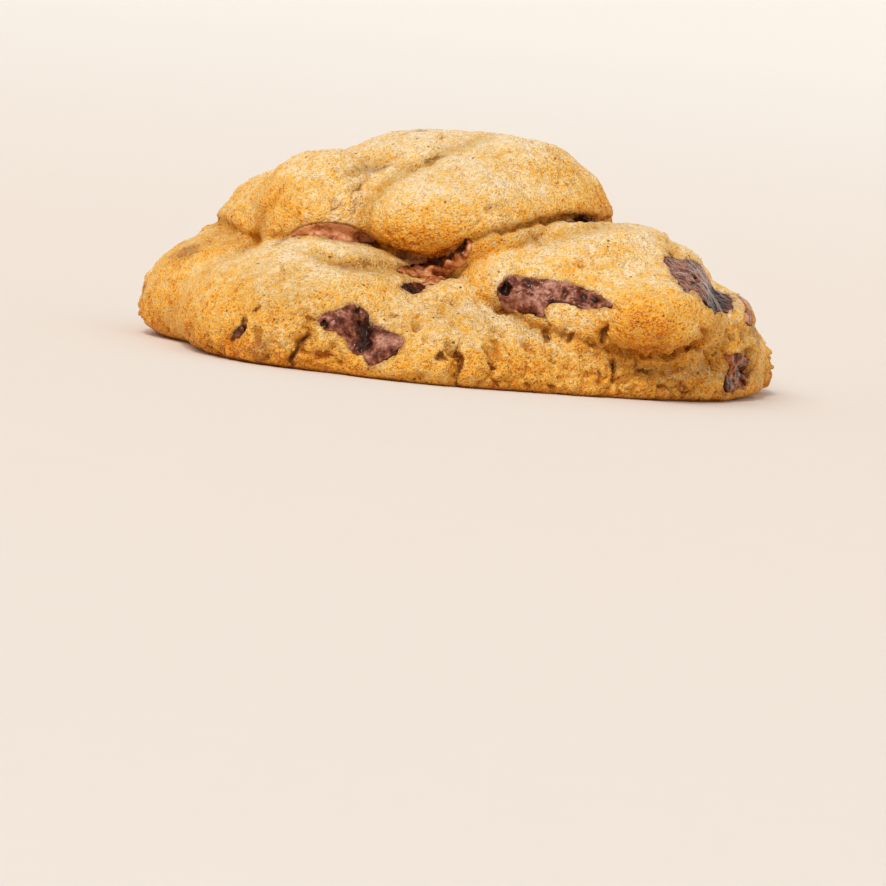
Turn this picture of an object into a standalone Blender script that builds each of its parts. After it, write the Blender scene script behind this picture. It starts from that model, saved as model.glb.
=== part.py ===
"""A thick chocolate chip cookie, baked from lumps of dough pressed together.

The dough is one solid: overlapping lobes that melt into each other, creased where they meet, on a
flat underside. Each large chocolate chunk is a solid of its own, set in a pocket of the dough.

X is to the right and Y is away from the side that shows the big front chunk. Z is up, and the
origin is the middle of the underside. Shapes are worked out in millimetres and built in metres.
"""

import itertools
import math
from dataclasses import dataclass

import bmesh
import bpy
import numpy as np
import openvdb

# Driving dimensions of the whole cookie, in millimetres
WIDTH = 92.6
DEPTH = 85.5
HEIGHT = 34.0

# Fit between chocolate and dough, in millimetres
POCKET_GAP = 0.3
CHUNK_PROUD = 0.35
CHUNK_EDGE = 0.9

# Edge rounding where the sides meet the underside, and the softer rounding at the left end
RIM_ROUNDING = 1.6
LEFT_ROUNDING = 4.5

# Swell and grain of the crust: (size of the bumps, height), in millimetres
CRUST_RELIEF = ((5.0, 0.35), (2.6, 0.22))
LOBE_WANDER = (15.0, 0.9)

# Fineness of the solids
DOUGH_STEP = 0.8
UNCUT_TRIANGLES = 16000
DOUGH_TRIANGLES = 8880
CHUNK_STEP = 0.55
CHUNK_TRIANGLES = 170
POCKET_TRIANGLES = 240

MM = 0.001
FAR = 1000.0
NOISE_TABLE = np.random.default_rng(7).uniform(-1.0, 1.0, 4096).astype(np.float32)
NOISE_PRIMES = (73856093, 19349663, 83492791)


@dataclass(frozen=True)
class Finish:
    """Colour (linear), roughness and metallic value of a material."""

    name: str
    colour: tuple
    roughness: float
    metallic: float = 0.0


BAKED_DOUGH = Finish("baked_dough", (0.66, 0.38, 0.13), 0.72)
MILK_CHOCOLATE = Finish("milk_chocolate", (0.105, 0.030, 0.016), 0.38)


@dataclass(frozen=True)
class Side:
    """A direction that the cookie is looked at from, as a right-handed set of axes.

    Marks drawn on a side reach the surfaces whose `toward` coordinate is past `start`.
    """

    across: tuple
    up: tuple
    toward: tuple
    start: float = 0.0

    def coordinates(self, points):
        """Return the across, up and toward coordinates of points."""
        return [points @ np.array(axis, np.float32) for axis in (self.across, self.up, self.toward)]

    def place(self, across, up, toward):
        """Return the point that has these three coordinates."""
        axes = np.array([self.across, self.up, self.toward], np.float32)
        return np.stack([across, up, toward], -1).astype(np.float32) @ axes


# The front is seen from a little above, which is how its creases and chunks were measured
LOOK_DOWN = math.radians(4.9)
FRONT = Side(
    (1, 0, 0),
    (0, math.sin(LOOK_DOWN), math.cos(LOOK_DOWN)),
    (0, -math.cos(LOOK_DOWN), math.sin(LOOK_DOWN)),
    start=-4.0,
)
BACK = Side((-1, 0, 0), (0, 0, 1), (0, 1, 0))
LEFT = Side((0, -1, 0), (0, 0, 1), (-1, 0, 0), start=10.0)
RIGHT = Side((0, 1, 0), (0, 0, 1), (1, 0, 0), start=14.0)
TOP = Side((1, 0, 0), (0, 1, 0), (0, 0, 1), start=14.0)
MARK_FADE = 6.0


@dataclass(frozen=True)
class Lobe:
    """One lump of dough: an ellipsoid that melts into the lumps listed before it."""

    centre: tuple
    radii: tuple
    blend: float = 1.0

    def distance(self, points):
        """Return the distance of points from the lobe, negative inside."""
        offset = points - np.array(self.centre, np.float32)
        radii = np.array(self.radii, np.float32)
        reach = np.linalg.norm(offset / radii, axis=-1)
        slope = np.linalg.norm(offset / radii**2, axis=-1) + 1e-9
        return reach * (reach - 1.0) / slope


# Lobes that melt together, in three groups that meet in sharper seams
BASE = {
    "plinth": Lobe((1.0, 1.0, 1.8), (44.3, 40.0, 9.2)),
    "front_shelf": Lobe((-20, -16, 4.6), (20.5, 26.5, 13.0), 2.0),
    "front_apron": Lobe((-5, -19, 2.6), (27, 25, 9.6), 1.5),
    "left_nose": Lobe((-31.8, 0, 4.6), (15.0, 18, 12.6), 1.2),
    "left_top": Lobe((-33, 7, 10.5), (6.8, 12, 9.0), 1.0),
    "right_end": Lobe((38.6, 5, 4), (7.4, 12, 6.5), 0.6),
    "right_back": Lobe((30, 20, 6), (12.5, 13, 10), 0.8),
    "back_right": Lobe((14, 24, 8), (16, 17.5, 11.5), 0.9),
    "back_left": Lobe((-14, 25, 7), (18, 16.5, 12), 0.9),
    "back_foot": Lobe((2, 34, 4), (14, 8.5, 7), 0.7),
    "left_back": Lobe((-32, 18, 6), (11, 13, 9.5), 0.8),
}
SHOULDER = {
    "right_shoulder": Lobe((18.5, -9, 9.2), (19.5, 22, 15.0)),
    "right_cheek": Lobe((27, -21, 11.5), (10.8, 15.2, 7.0), 1.0),
    "right_knob": Lobe((30, -1, 12.3), (6.5, 10, 8.4), 1.0),
    "right_flank": Lobe((36, -7, 8), (7.5, 12, 8), 1.0),
}
CROWN = {
    "crown": Lobe((-3.5, 4, 17.5), (23.5, 21, 16.0)),
    "crown_right": Lobe((4.7, 2, 18.5), (17.8, 19, 15.3), 1.5),
    "crown_brow": Lobe((-2, -10.5, 20.5), (15.5, 13.5, 8.8), 2.5),
    "crown_left": Lobe((-20, -5, 18), (11.5, 13, 11.6), 0.7),
    "crown_left_back": Lobe((-23.5, 6, 13), (13.6, 17, 13.0), 1.2),
    "crown_back": Lobe((6, 15, 15), (16, 13, 12.5), 0.8),
}
GROUPS = (BASE, SHOULDER, CROWN)
SEAM_BLEND = 0.35


@dataclass(frozen=True)
class Fold:
    """A crease in the dough, drawn on one side as points (across, up, depth)."""

    side: Side
    path: tuple
    width: float

    def depth(self, points):
        """Return how far the crease sets the surface back at points."""
        across, up, toward = self.side.coordinates(points)
        deepest = np.zeros(across.shape, np.float32)
        for start, end in zip(self.path, self.path[1:]):
            run = (end[0] - start[0], end[1] - start[1])
            length = run[0] ** 2 + run[1] ** 2
            along = np.clip(((across - start[0]) * run[0] + (up - start[1]) * run[1]) / length, 0, 1)
            away = np.hypot(across - start[0] - along * run[0], up - start[1] - along * run[1])
            depth = start[2] + along * (end[2] - start[2])
            deepest = np.maximum(deepest, depth * np.exp(-((away / self.width) ** 2)))
        return deepest * np.clip((toward - self.side.start) / MARK_FADE, 0, 1)


FOLDS = {
    "under_crown": Fold(
        FRONT,
        ((-28, 15, 0.3), (-20, 17.2, 1.4), (-14.6, 16.4, 2.2), (-9.3, 14.6, 1.9), (-4.9, 14.1, 1.4),
         (1.9, 18.2, 1.5), (13.2, 22.4, 1.8), (21.9, 23.2, 0.6)),
        0.9,
    ),
    "shoulder_edge": Fold(
        FRONT, ((-2.5, 11.6, 0.2), (5.9, 8.2, 1.4), (10.6, 6.1, 1.6), (15, 5.2, 1.2), (19.4, 4.8, 0.8)), 0.9
    ),
    "cheek_edge": Fold(
        FRONT, ((19.4, 4.8, 0.8), (25, 3.7, 1.9), (30.5, 3.9, 1.8), (34.5, 6.3, 1.3), (37, 9.4, 0.4)), 0.9
    ),
    "crown_valley": Fold(
        FRONT,
        ((-14.6, 16.4, 1.4), (-15, 20.5, 1.3), (-12, 25, 1.2), (-7.5, 28.2, 0.9), (1.9, 33.6, 0.6)),
        1.5,
    ),
    "crown_hollow": Fold(FRONT, ((-19.2, 25.2, 0.4), (-15, 27, 1.0), (-10.9, 29, 0.4)), 2.2),
    "crown_left_edge": Fold(
        FRONT, ((-27.2, 22, 0.3), (-29.5, 18.5, 0.8), (-30.4, 14.2, 1.1), (-33, 12.4, 0.8), (-38.5, 9.8, 0.2)), 1.0
    ),
    "right_end_cleft": Fold(FRONT, ((41.0, 9.0, 0.3), (42.3, 5.5, 1.4), (41.6, 2.2, 1.6), (40.8, 0.2, 0.8)), 1.1),
    "front_fissure": Fold(FRONT, ((-24.2, 3.4, 0.6), (-25.2, 0.8, 1.2), (-24.4, -2.2, 0.9)), 0.7),
    "rim_fissure": Fold(FRONT, ((-1.2, 2.6, 0.9), (0.4, 0.4, 1.1), (0.2, -2.6, 0.6)), 0.8),
    "rim_break": Fold(FRONT, ((20.6, 3.0, 0.5), (24.0, 0.8, 0.9), (28.6, 1.0, 1.0), (32.0, 2.4, 0.4)), 0.9),
    "back_under_crown": Fold(
        BACK,
        ((-24, 14, 0.3), (-16, 17.5, 1.2), (-6, 15.5, 1.3), (3, 17.8, 1.1), (14, 16, 1.2), (26, 17, 0.3)),
        1.1,
    ),
    "back_seam": Fold(BACK, ((-1, 16, 0.9), (1.5, 10, 1.3), (-2.5, 5.5, 1.0), (-8, 2.5, 0.4)), 1.1),
    "back_crown_seam": Fold(BACK, ((-6, 16, 0.9), (-8, 22, 0.9), (-3, 27, 0.7), (2, 30.5, 0.3)), 1.5),
    "back_rim_crack": Fold(BACK, ((17, 9, 0.4), (19.5, 5, 1.1), (18, 1, 0.8)), 0.8),
    "left_seam": Fold(LEFT, ((-12, 3, 0.6), (-9.5, 8, 1.2), (-11, 13.5, 0.8)), 1.1),
    "left_crown_edge": Fold(LEFT, ((-20, 14, 0.3), (-8, 17, 1.1), (3, 16.2, 1.1), (14, 14, 0.3)), 1.1),
    "right_seam": Fold(RIGHT, ((11.5, 2, 0.6), (12.5, 7, 1.2), (10, 13.5, 1.0), (12, 18, 0.3)), 1.1),
    "right_ledge": Fold(RIGHT, ((-16, 9, 0.3), (-6, 11.4, 1.0), (3, 10.2, 1.1), (10, 12, 0.4)), 1.0),
    "top_seam": Fold(TOP, ((-16, 14, 0.5), (-9, 9, 0.9), (-2, 12, 0.8), (6, 9, 0.3)), 1.5),
}


@dataclass(frozen=True)
class Chunk:
    """A piece of chocolate bedded in the dough, drawn as an outline on one side."""

    side: Side
    outline: tuple
    sunk: float = 4.5

    def middle(self):
        """Return the middle of the outline."""
        return np.mean(np.array(self.outline, float), axis=0)

    def reach(self):
        """Return how far the chunk may spread from its middle."""
        spread = np.linalg.norm(np.array(self.outline, float) - self.middle(), axis=1)
        return float(spread.max()) + 2.0

    def anchor(self):
        """Return the point of the dough's surface in the middle of the chunk."""
        toward = np.arange(60.0, -20.0, -0.2)
        middle = self.middle()
        line = self.side.place(np.full_like(toward, middle[0]), np.full_like(toward, middle[1]), toward)
        first = int(np.argmax(dough_distance(line) < 0))
        return line[first]

    def pocket_distance(self, points):
        """Return the distance from the pocket that the chunk lies in, negative inside."""
        across, up, _ = self.side.coordinates(points)
        outside = outline_distance(across, up, self.outline)
        dough = dough_distance(points)
        skin = smooth_max(dough - CHUNK_PROUD - POCKET_GAP, -dough - self.sunk, CHUNK_EDGE)
        ball = np.linalg.norm(points - self.anchor(), axis=-1) - self.reach()
        return smooth_max(smooth_max(outside, skin, CHUNK_EDGE), ball, CHUNK_EDGE)

    def distance(self, points):
        """Return the distance from the chunk itself, which clears its pocket by the gap."""
        return self.pocket_distance(points) + POCKET_GAP


def lump_outline(middle, size, turn, seed, corners=8):
    """Return an uneven rounded outline of a broken chunk: size is (width, height) in millimetres."""
    rng = np.random.default_rng(seed)
    angles = np.linspace(0, math.tau, corners, endpoint=False) + rng.uniform(-0.2, 0.2, corners)
    spread = rng.uniform(0.82, 1.12, corners)
    across = np.cos(angles) * spread * size[0] / 2
    up = np.sin(angles) * spread * size[1] / 2
    cos, sin = math.cos(math.radians(turn)), math.sin(math.radians(turn))
    xs = middle[0] + across * cos - up * sin
    ys = middle[1] + across * sin + up * cos
    return tuple(zip(xs.tolist(), ys.tolist()))


CHUNKS = {
    "chocolate_front": Chunk(
        FRONT,
        ((-20.0, 3.5), (-16.4, 5.7), (-14.2, 5.5), (-11.6, 4.2), (-8.0, 2.6), (-7.9, 1.0), (-11.2, -2.0),
         (-13.0, -2.2), (-14.8, -0.4), (-18.2, 2.0)),
        5.0,
    ),
    "chocolate_shoulder": Chunk(
        FRONT,
        ((5.2, 11.6), (6.5, 12.7), (11.2, 12.9), (15.3, 12.5), (18.6, 11.9), (21.4, 10.2), (20.4, 9.1),
         (14.6, 9.2), (12.0, 7.7), (9.2, 7.7), (6.2, 9.4)),
    ),
    "chocolate_right_upper": Chunk(
        FRONT, ((29.8, 16.8), (32.8, 17.0), (36.8, 15.6), (38.6, 13.0), (37.4, 11.0), (34.8, 11.8), (31.8, 14.2))
    ),
    "chocolate_right_low": Chunk(
        FRONT, ((39.4, 5.0), (41.4, 6.0), (43.2, 5.2), (43.4, 3.0), (41.8, 0.9), (38.8, 0.2), (38.6, 2.0)), 4.0
    ),
    "chocolate_lens": Chunk(
        FRONT, ((-26.6, 16.2), (-23.6, 17.8), (-19.6, 18.2), (-15.6, 17.2), (-14.4, 16.0), (-19.6, 15.6)), 3.5
    ),
    "chocolate_crevice": Chunk(
        FRONT, ((-8.6, 13.2), (-4.2, 14.0), (0.8, 16.4), (0.4, 13.2), (-3.4, 10.4), (-7.6, 10.2)), 3.5
    ),
    "chocolate_right_side": Chunk(RIGHT, lump_outline((-3.5, 11.8), (10, 6.5), 15, 3)),
    "chocolate_right_back": Chunk(RIGHT, lump_outline((19, 8.0), (10, 7), -25, 4)),
    "chocolate_left_side": Chunk(LEFT, lump_outline((-12.5, 9.8), (11, 7), 8, 5)),
    "chocolate_left_back": Chunk(LEFT, lump_outline((-27, 7.0), (8, 7), 40, 6)),
    "chocolate_back_low": Chunk(BACK, lump_outline((-15, 7.5), (14, 8), -12, 7), 5.0),
    "chocolate_back_upper": Chunk(BACK, lump_outline((-14.5, 20.5), (12, 7), 18, 8)),
    "chocolate_back_left": Chunk(BACK, lump_outline((21, 10.5), (11, 8), 30, 9)),
    "chocolate_top": Chunk(TOP, lump_outline((4, 15.0), (11, 8), 30, 10)),
    "chocolate_top_left": Chunk(TOP, lump_outline((-20, 12.5), (9, 7), -35, 11)),
}


def smooth_min(first, second, blend):
    """Return the lower of two distances, rounded where they cross."""
    mix = np.clip(0.5 + 0.5 * (second - first) / blend, 0, 1)
    return second + (first - second) * mix - blend * mix * (1 - mix)


def smooth_max(first, second, blend):
    """Return the higher of two distances, rounded where they cross."""
    return -smooth_min(-first, -second, blend)


def noise(points, size, seed):
    """Return smooth random values from -1 to 1 that change over `size` millimetres."""
    scaled = np.asarray(points, np.float32) / size + seed * 17.31
    cell = np.floor(scaled).astype(np.int64)
    inside = (scaled - cell).astype(np.float32)
    inside = inside * inside * (3 - 2 * inside)
    total = np.zeros(scaled.shape[:-1], np.float32)
    for corner in itertools.product((0, 1), repeat=3):
        keys = (cell + corner) * np.array(NOISE_PRIMES)
        weight = np.where(np.array(corner, bool), inside, 1 - inside).prod(-1)
        total += weight * NOISE_TABLE[(keys[..., 0] ^ keys[..., 1] ^ keys[..., 2]) % len(NOISE_TABLE)]
    return total


def outline_distance(across, up, outline):
    """Return the distance from a closed outline, negative inside it."""
    nearest = np.full(across.shape, FAR, np.float32)
    inside = np.zeros(across.shape, bool)
    for (x0, y0), (x1, y1) in zip(outline, outline[1:] + outline[:1]):
        run_x, run_y = x1 - x0, y1 - y0
        along = np.clip(((across - x0) * run_x + (up - y0) * run_y) / (run_x**2 + run_y**2), 0, 1)
        nearest = np.minimum(nearest, np.hypot(across - x0 - along * run_x, up - y0 - along * run_y))
        spans = (y0 > up) != (y1 > up)
        crossing = x0 + (up - y0) * run_x / (run_y or 1e-9)
        inside ^= spans & (across < crossing)
    return np.where(inside, -nearest, nearest)


def dough_distance(points):
    """Return the distance of points from the dough's surface, negative inside."""
    size, height = LOBE_WANDER
    moved = points + height * np.stack([noise(points, size, seed) for seed in (1, 2, 3)], -1)
    total = np.full(points.shape[:-1], FAR, np.float32)
    for group in GROUPS:
        lump = np.full(points.shape[:-1], FAR, np.float32)
        for lobe in group.values():
            lump = smooth_min(lump, lobe.distance(moved), lobe.blend)
        total = smooth_min(total, lump, SEAM_BLEND)
    for fold in FOLDS.values():
        total = total + fold.depth(points)
    for seed, (size, height) in enumerate(CRUST_RELIEF):
        total = total + height * noise(points, size, 5 + seed)
    left_end = np.clip((-points[..., 0] - 28) / 14, 0, 1)
    rounding = RIM_ROUNDING + (LEFT_ROUNDING - RIM_ROUNDING) * left_end
    return smooth_max(total, -points[..., 2], rounding)


def mesh_of(distance, low, high, step):
    """Return a closed mesh in millimetres of where a distance is zero inside a box."""
    axes = [np.arange(start, end, step, dtype=np.float32) for start, end in zip(low, high)]
    points = np.stack(np.meshgrid(*axes, indexing="ij"), -1)
    grid = openvdb.FloatGrid(FAR)
    grid.copyFromArray(distance(points).astype(np.float32))
    corners, quads = grid.convertToQuads(0.0)
    mesh = bpy.data.meshes.new("form")
    mesh.from_pydata((corners * step + np.array(low)).tolist(), [], quads.tolist())
    keep_largest(mesh)
    return mesh


def keep_largest(mesh):
    """Delete every piece of a mesh but the one with the most faces."""
    form = bmesh.new()
    form.from_mesh(mesh)
    unseen = set(form.verts)
    islands = []
    while unseen:
        island = {unseen.pop()}
        edge = list(island)
        while edge:
            near = {other for vert in edge for link in vert.link_edges for other in link.verts}
            edge = list(near - island)
            island |= near
        unseen -= island
        islands.append(island)
    largest = max(islands, key=len)
    bmesh.ops.delete(form, geom=[vert for vert in form.verts if vert not in largest], context="VERTS")
    form.to_mesh(mesh)
    form.free()


def coordinates_of(mesh):
    """Return the mesh's vertices as an array."""
    flat = np.empty(len(mesh.vertices) * 3, np.float32)
    mesh.vertices.foreach_get("co", flat)
    return flat.reshape(-1, 3)


def place_vertices(mesh, points):
    """Move the mesh's vertices to the rows of an array."""
    mesh.vertices.foreach_set("co", points.astype(np.float32).ravel())
    mesh.update()


def add_thinning(made, ratio):
    """Add modifiers that leave an object this share of its triangles."""
    made.modifiers.new("triangulate", "TRIANGULATE")
    decimate = made.modifiers.new("decimate", "DECIMATE")
    decimate.ratio = ratio
    decimate.use_collapse_triangulate = True


def thin_out(mesh, triangles):
    """Return a copy of the mesh brought down to about this many triangles."""
    helper = bpy.data.objects.new("helper", mesh)
    bpy.context.scene.collection.objects.link(helper)
    add_thinning(helper, triangles / sum(len(face.vertices) - 2 for face in mesh.polygons))
    graph = bpy.context.evaluated_depsgraph_get()
    thinned = bpy.data.meshes.new_from_object(helper.evaluated_get(graph))
    bpy.data.objects.remove(helper)
    bpy.data.meshes.remove(mesh)
    return thinned


class Fit:
    """The small stretch and shift that bring the modelled form to the driving dimensions."""

    def __init__(self, points):
        low, high = points.min(axis=0), points.max(axis=0)
        self.scale = np.array((WIDTH, DEPTH, HEIGHT)) / (high - low)
        self.base = np.array(((low[0] + high[0]) / 2, (low[1] + high[1]) / 2, low[2]))

    def apply(self, mesh):
        """Bring a mesh from form millimetres to its real size and place, in metres."""
        place_vertices(mesh, (coordinates_of(mesh) - self.base) * self.scale * MM)


def flatten_base(mesh, below=0.3 * MM):
    """Set the vertices just above the underside flat on it."""
    points = coordinates_of(mesh)
    points[points[:, 2] < below, 2] = 0.0
    place_vertices(mesh, points)


def material_of(finish):
    """Return the material of a finish."""
    material = bpy.data.materials.new(finish.name)
    material.use_nodes = True
    shader = material.node_tree.nodes["Principled BSDF"]
    shader.inputs["Base Color"].default_value = (*finish.colour, 1.0)
    shader.inputs["Roughness"].default_value = finish.roughness
    shader.inputs["Metallic"].default_value = finish.metallic
    return material


def add_object(name, mesh, material, collection):
    """Add a smooth-shaded object of the mesh to a collection."""
    mesh.name = name
    mesh.materials.clear()
    if material:
        mesh.materials.append(material)
    mesh.shade_smooth()
    made = bpy.data.objects.new(name, mesh)
    collection.objects.link(made)
    return made


def build_dough(material):
    """Build the dough and return it with the fit that gives it its real size."""
    low = (-WIDTH / 2 - 5, -DEPTH / 2 - 5, -2)
    high = (WIDTH / 2 + 5, DEPTH / 2 + 5, HEIGHT + 5)
    mesh = mesh_of(dough_distance, low, high, DOUGH_STEP)
    fit = Fit(coordinates_of(mesh))
    fit.apply(mesh)
    mesh = thin_out(mesh, UNCUT_TRIANGLES)
    flatten_base(mesh)
    return add_object("dough", mesh, material, bpy.context.scene.collection), fit


def build_chunk(name, chunk, fit, material, pockets):
    """Build one chunk, and in the pockets collection the cutter of its pocket."""
    anchor = chunk.anchor()
    reach = chunk.reach() + 1.5
    box = (anchor - reach, anchor + reach)
    solid = mesh_of(chunk.distance, *box, CHUNK_STEP)
    hollow = mesh_of(chunk.pocket_distance, *box, CHUNK_STEP)
    fit.apply(solid)
    fit.apply(hollow)
    add_object(name, thin_out(solid, CHUNK_TRIANGLES), material, bpy.context.scene.collection)
    cutter = add_object(f"{name}_pocket", thin_out(hollow, POCKET_TRIANGLES), None, pockets)
    cutter.hide_render = True
    cutter.display_type = "WIRE"


def cut_pockets(dough, pockets):
    """Cut the chunks' pockets out of the dough, then thin it out, which clears the cuts' slivers."""
    cut = dough.modifiers.new("pockets", "BOOLEAN")
    cut.operation = "DIFFERENCE"
    cut.solver = "EXACT"
    cut.operand_type = "COLLECTION"
    cut.collection = pockets
    add_thinning(dough, DOUGH_TRIANGLES / UNCUT_TRIANGLES)


def main():
    """Build the cookie in an emptied scene."""
    for leftover in list(bpy.data.objects):
        bpy.data.objects.remove(leftover)
    dough, fit = build_dough(material_of(BAKED_DOUGH))
    chocolate = material_of(MILK_CHOCOLATE)
    pockets = bpy.data.collections.new("pockets")
    bpy.context.scene.collection.children.link(pockets)
    for name, chunk in CHUNKS.items():
        build_chunk(name, chunk, fit, chocolate, pockets)
    cut_pockets(dough, pockets)


if __name__ == "__main__":
    main()
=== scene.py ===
"""Looks of the chocolate chip cookie: crust, melted chocolate, loose crumbs and the studio round it.

The form is the one that the solids have, worked out again in millimetres on a finer lattice. Marks are
drawn on the side of the cookie that they are seen from, as points (across, up) in millimetres.
"""

import itertools
import logging
import math
from dataclasses import dataclass
from enum import Enum
from typing import Callable

import bmesh
import bpy
import numpy as np
import openvdb
from mathutils import Matrix, Vector


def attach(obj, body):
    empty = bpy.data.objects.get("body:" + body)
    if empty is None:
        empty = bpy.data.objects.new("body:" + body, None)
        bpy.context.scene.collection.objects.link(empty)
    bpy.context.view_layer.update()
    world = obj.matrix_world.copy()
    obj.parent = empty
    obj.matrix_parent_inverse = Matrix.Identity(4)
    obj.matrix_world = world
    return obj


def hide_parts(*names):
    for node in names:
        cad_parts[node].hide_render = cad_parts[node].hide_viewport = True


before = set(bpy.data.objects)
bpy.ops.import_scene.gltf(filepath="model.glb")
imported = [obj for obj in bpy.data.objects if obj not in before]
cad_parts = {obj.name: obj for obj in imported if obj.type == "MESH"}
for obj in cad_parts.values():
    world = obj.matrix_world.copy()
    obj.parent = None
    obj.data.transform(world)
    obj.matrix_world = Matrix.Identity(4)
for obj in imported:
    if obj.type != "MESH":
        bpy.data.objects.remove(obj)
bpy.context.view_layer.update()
LOG = logging.getLogger("cookie")

WIDTH, DEPTH, HEIGHT = 92.6, 85.5, 34.0
MM = 0.001
FAR = 1000.0
TINY = 1e-9
BODY = "root"

RIM_ROUNDING = 1.6
LEFT_ROUNDING = 4.5
LEFT_END = (28, 14)
LOBE_WANDER = (15.0, 0.9)
CRUST_RELIEF = ((5.0, 0.35, 5), (2.6, 0.22, 6))
SEAM_BLEND = 0.35
MARK_FADE = 6.0
DEEPEST_DENT = 1.25
# Dents this deep and deeper get the full painted shade
DARK_DENT = 0.7
DENT_WANDER = 0.45
LINE_WANDER = 0.45
SIGHT_LINE = (60.0, -20.0, -0.2)

NOISE_TABLE = np.random.default_rng(7).uniform(-1.0, 1.0, 4096).astype(np.float32)
NOISE_PRIMES = (73856093, 19349663, 83492791)


def smooth_min(first: np.ndarray, second: np.ndarray, blend: float) -> np.ndarray:
    """Return the lower of two distances, rounded where they cross."""
    mix = np.clip(0.5 + 0.5 * (second - first) / blend, 0, 1)
    return second + (first - second) * mix - blend * mix * (1 - mix)


def smooth_max(first: np.ndarray, second: np.ndarray, blend: float) -> np.ndarray:
    """Return the higher of two distances, rounded where they cross."""
    return -smooth_min(-first, -second, blend)


def rise(values: np.ndarray, start: float, end: float) -> np.ndarray:
    """Return 0 before start, 1 after end and a soft slope between."""
    share = np.clip((values - start) / (end - start), 0, 1)
    return share * share * (3 - 2 * share)


def noise(points: np.ndarray, size: float, seed: int) -> np.ndarray:
    """Return smooth random values from -1 to 1.

    Args:
        points: Rows of coordinates, in millimetres.
        size: Distance over which the values change, in millimetres.
        seed: Picks the pattern.

    Returns:
        One value a point.
    """
    scaled = np.asarray(points, np.float32) / size + seed * 17.31
    cell = np.floor(scaled).astype(np.int64)
    inside = (scaled - cell).astype(np.float32)
    inside = inside * inside * (3 - 2 * inside)
    total = np.zeros(scaled.shape[:-1], np.float32)
    for corner in itertools.product((0, 1), repeat=3):
        keys = (cell + corner) * np.array(NOISE_PRIMES)
        weight = np.where(np.array(corner, bool), inside, 1 - inside).prod(-1)
        total += weight * NOISE_TABLE[(keys[..., 0] ^ keys[..., 1] ^ keys[..., 2]) % len(NOISE_TABLE)]
    return total


def drift(points: np.ndarray, size: float, seed: int) -> np.ndarray:
    """Return a smooth random shift for each point, from the patterns of three seeds."""
    return np.stack([noise(points, size, seed + axis) for axis in range(3)], -1)


def plates(points: np.ndarray, size: float, seed: int) -> tuple:
    """Break space into uneven plates about `size` millimetres across.

    Args:
        points: Rows of coordinates, in millimetres.
        size: Size of the plates, in millimetres.
        seed: Picks the pattern.

    Returns:
        How far points are from the gaps (0 in a gap, up to 1 inside), and each plate's level from -1 to 1.
    """
    scaled = np.asarray(points, np.float32) / size + seed * 7.31
    cell = np.floor(scaled).astype(np.int64)
    first = np.full(len(scaled), FAR, np.float32)
    second = first.copy()
    level = np.zeros(len(scaled), np.float32)
    for offset in itertools.product((-1, 0, 1), repeat=3):
        near = cell + offset
        keys = near * np.array(NOISE_PRIMES)
        key = keys[..., 0] ^ keys[..., 1] ^ keys[..., 2]
        jitter = np.stack([NOISE_TABLE[(key + shift) % len(NOISE_TABLE)] for shift in (0, 977, 1954)], -1)
        away = np.linalg.norm(near + 0.5 + 0.45 * jitter - scaled, axis=-1)
        level = np.where(away < first, jitter[..., 0], level)
        second = np.minimum(second, np.maximum(first, away))
        first = np.minimum(first, away)
    return np.clip(second - first, 0, 1), level


def from_line(across: np.ndarray, up: np.ndarray, start: tuple, end: tuple) -> tuple:
    """Return how far along a drawn line the nearest place lies, from 0 to 1, and how far away it is."""
    run_x, run_y = end[0] - start[0], end[1] - start[1]
    across, up = across - start[0], up - start[1]
    along = np.clip((across * run_x + up * run_y) / (run_x**2 + run_y**2), 0, 1)
    return along, np.hypot(across - along * run_x, up - along * run_y)


def outline_distance(across: np.ndarray, up: np.ndarray, outline: tuple) -> np.ndarray:
    """Return the distance from a closed outline, negative inside it."""
    nearest = np.full(across.shape, FAR, np.float32)
    inside = np.zeros(across.shape, bool)
    for start, end in zip(outline, outline[1:] + outline[:1]):
        nearest = np.minimum(nearest, from_line(across, up, start, end)[1])
        spans = (start[1] > up) != (end[1] > up)
        crossing = start[0] + (up - start[1]) * (end[0] - start[0]) / ((end[1] - start[1]) or TINY)
        inside ^= spans & (across < crossing)
    return np.where(inside, -nearest, nearest)


def lump_outline(middle: tuple, size: tuple, turn: float, seed: int, corners: int = 8) -> tuple:
    """Return an uneven rounded outline of a broken chunk.

    Args:
        middle: Its middle, in millimetres.
        size: Width and height, in millimetres.
        turn: Degrees that it is turned.
        seed: Picks its unevenness.
        corners: How many points it has.

    Returns:
        The points of the closed outline.
    """
    rng = np.random.default_rng(seed)
    angles = np.linspace(0, math.tau, corners, endpoint=False) + rng.uniform(-0.2, 0.2, corners)
    spread = rng.uniform(0.82, 1.12, corners)
    across = np.cos(angles) * spread * size[0] / 2
    up = np.sin(angles) * spread * size[1] / 2
    cos, sin = math.cos(math.radians(turn)), math.sin(math.radians(turn))
    xs = middle[0] + across * cos - up * sin
    ys = middle[1] + across * sin + up * cos
    return tuple(zip(xs.tolist(), ys.tolist()))


LOOK_DOWN = math.radians(4.9)


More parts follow.
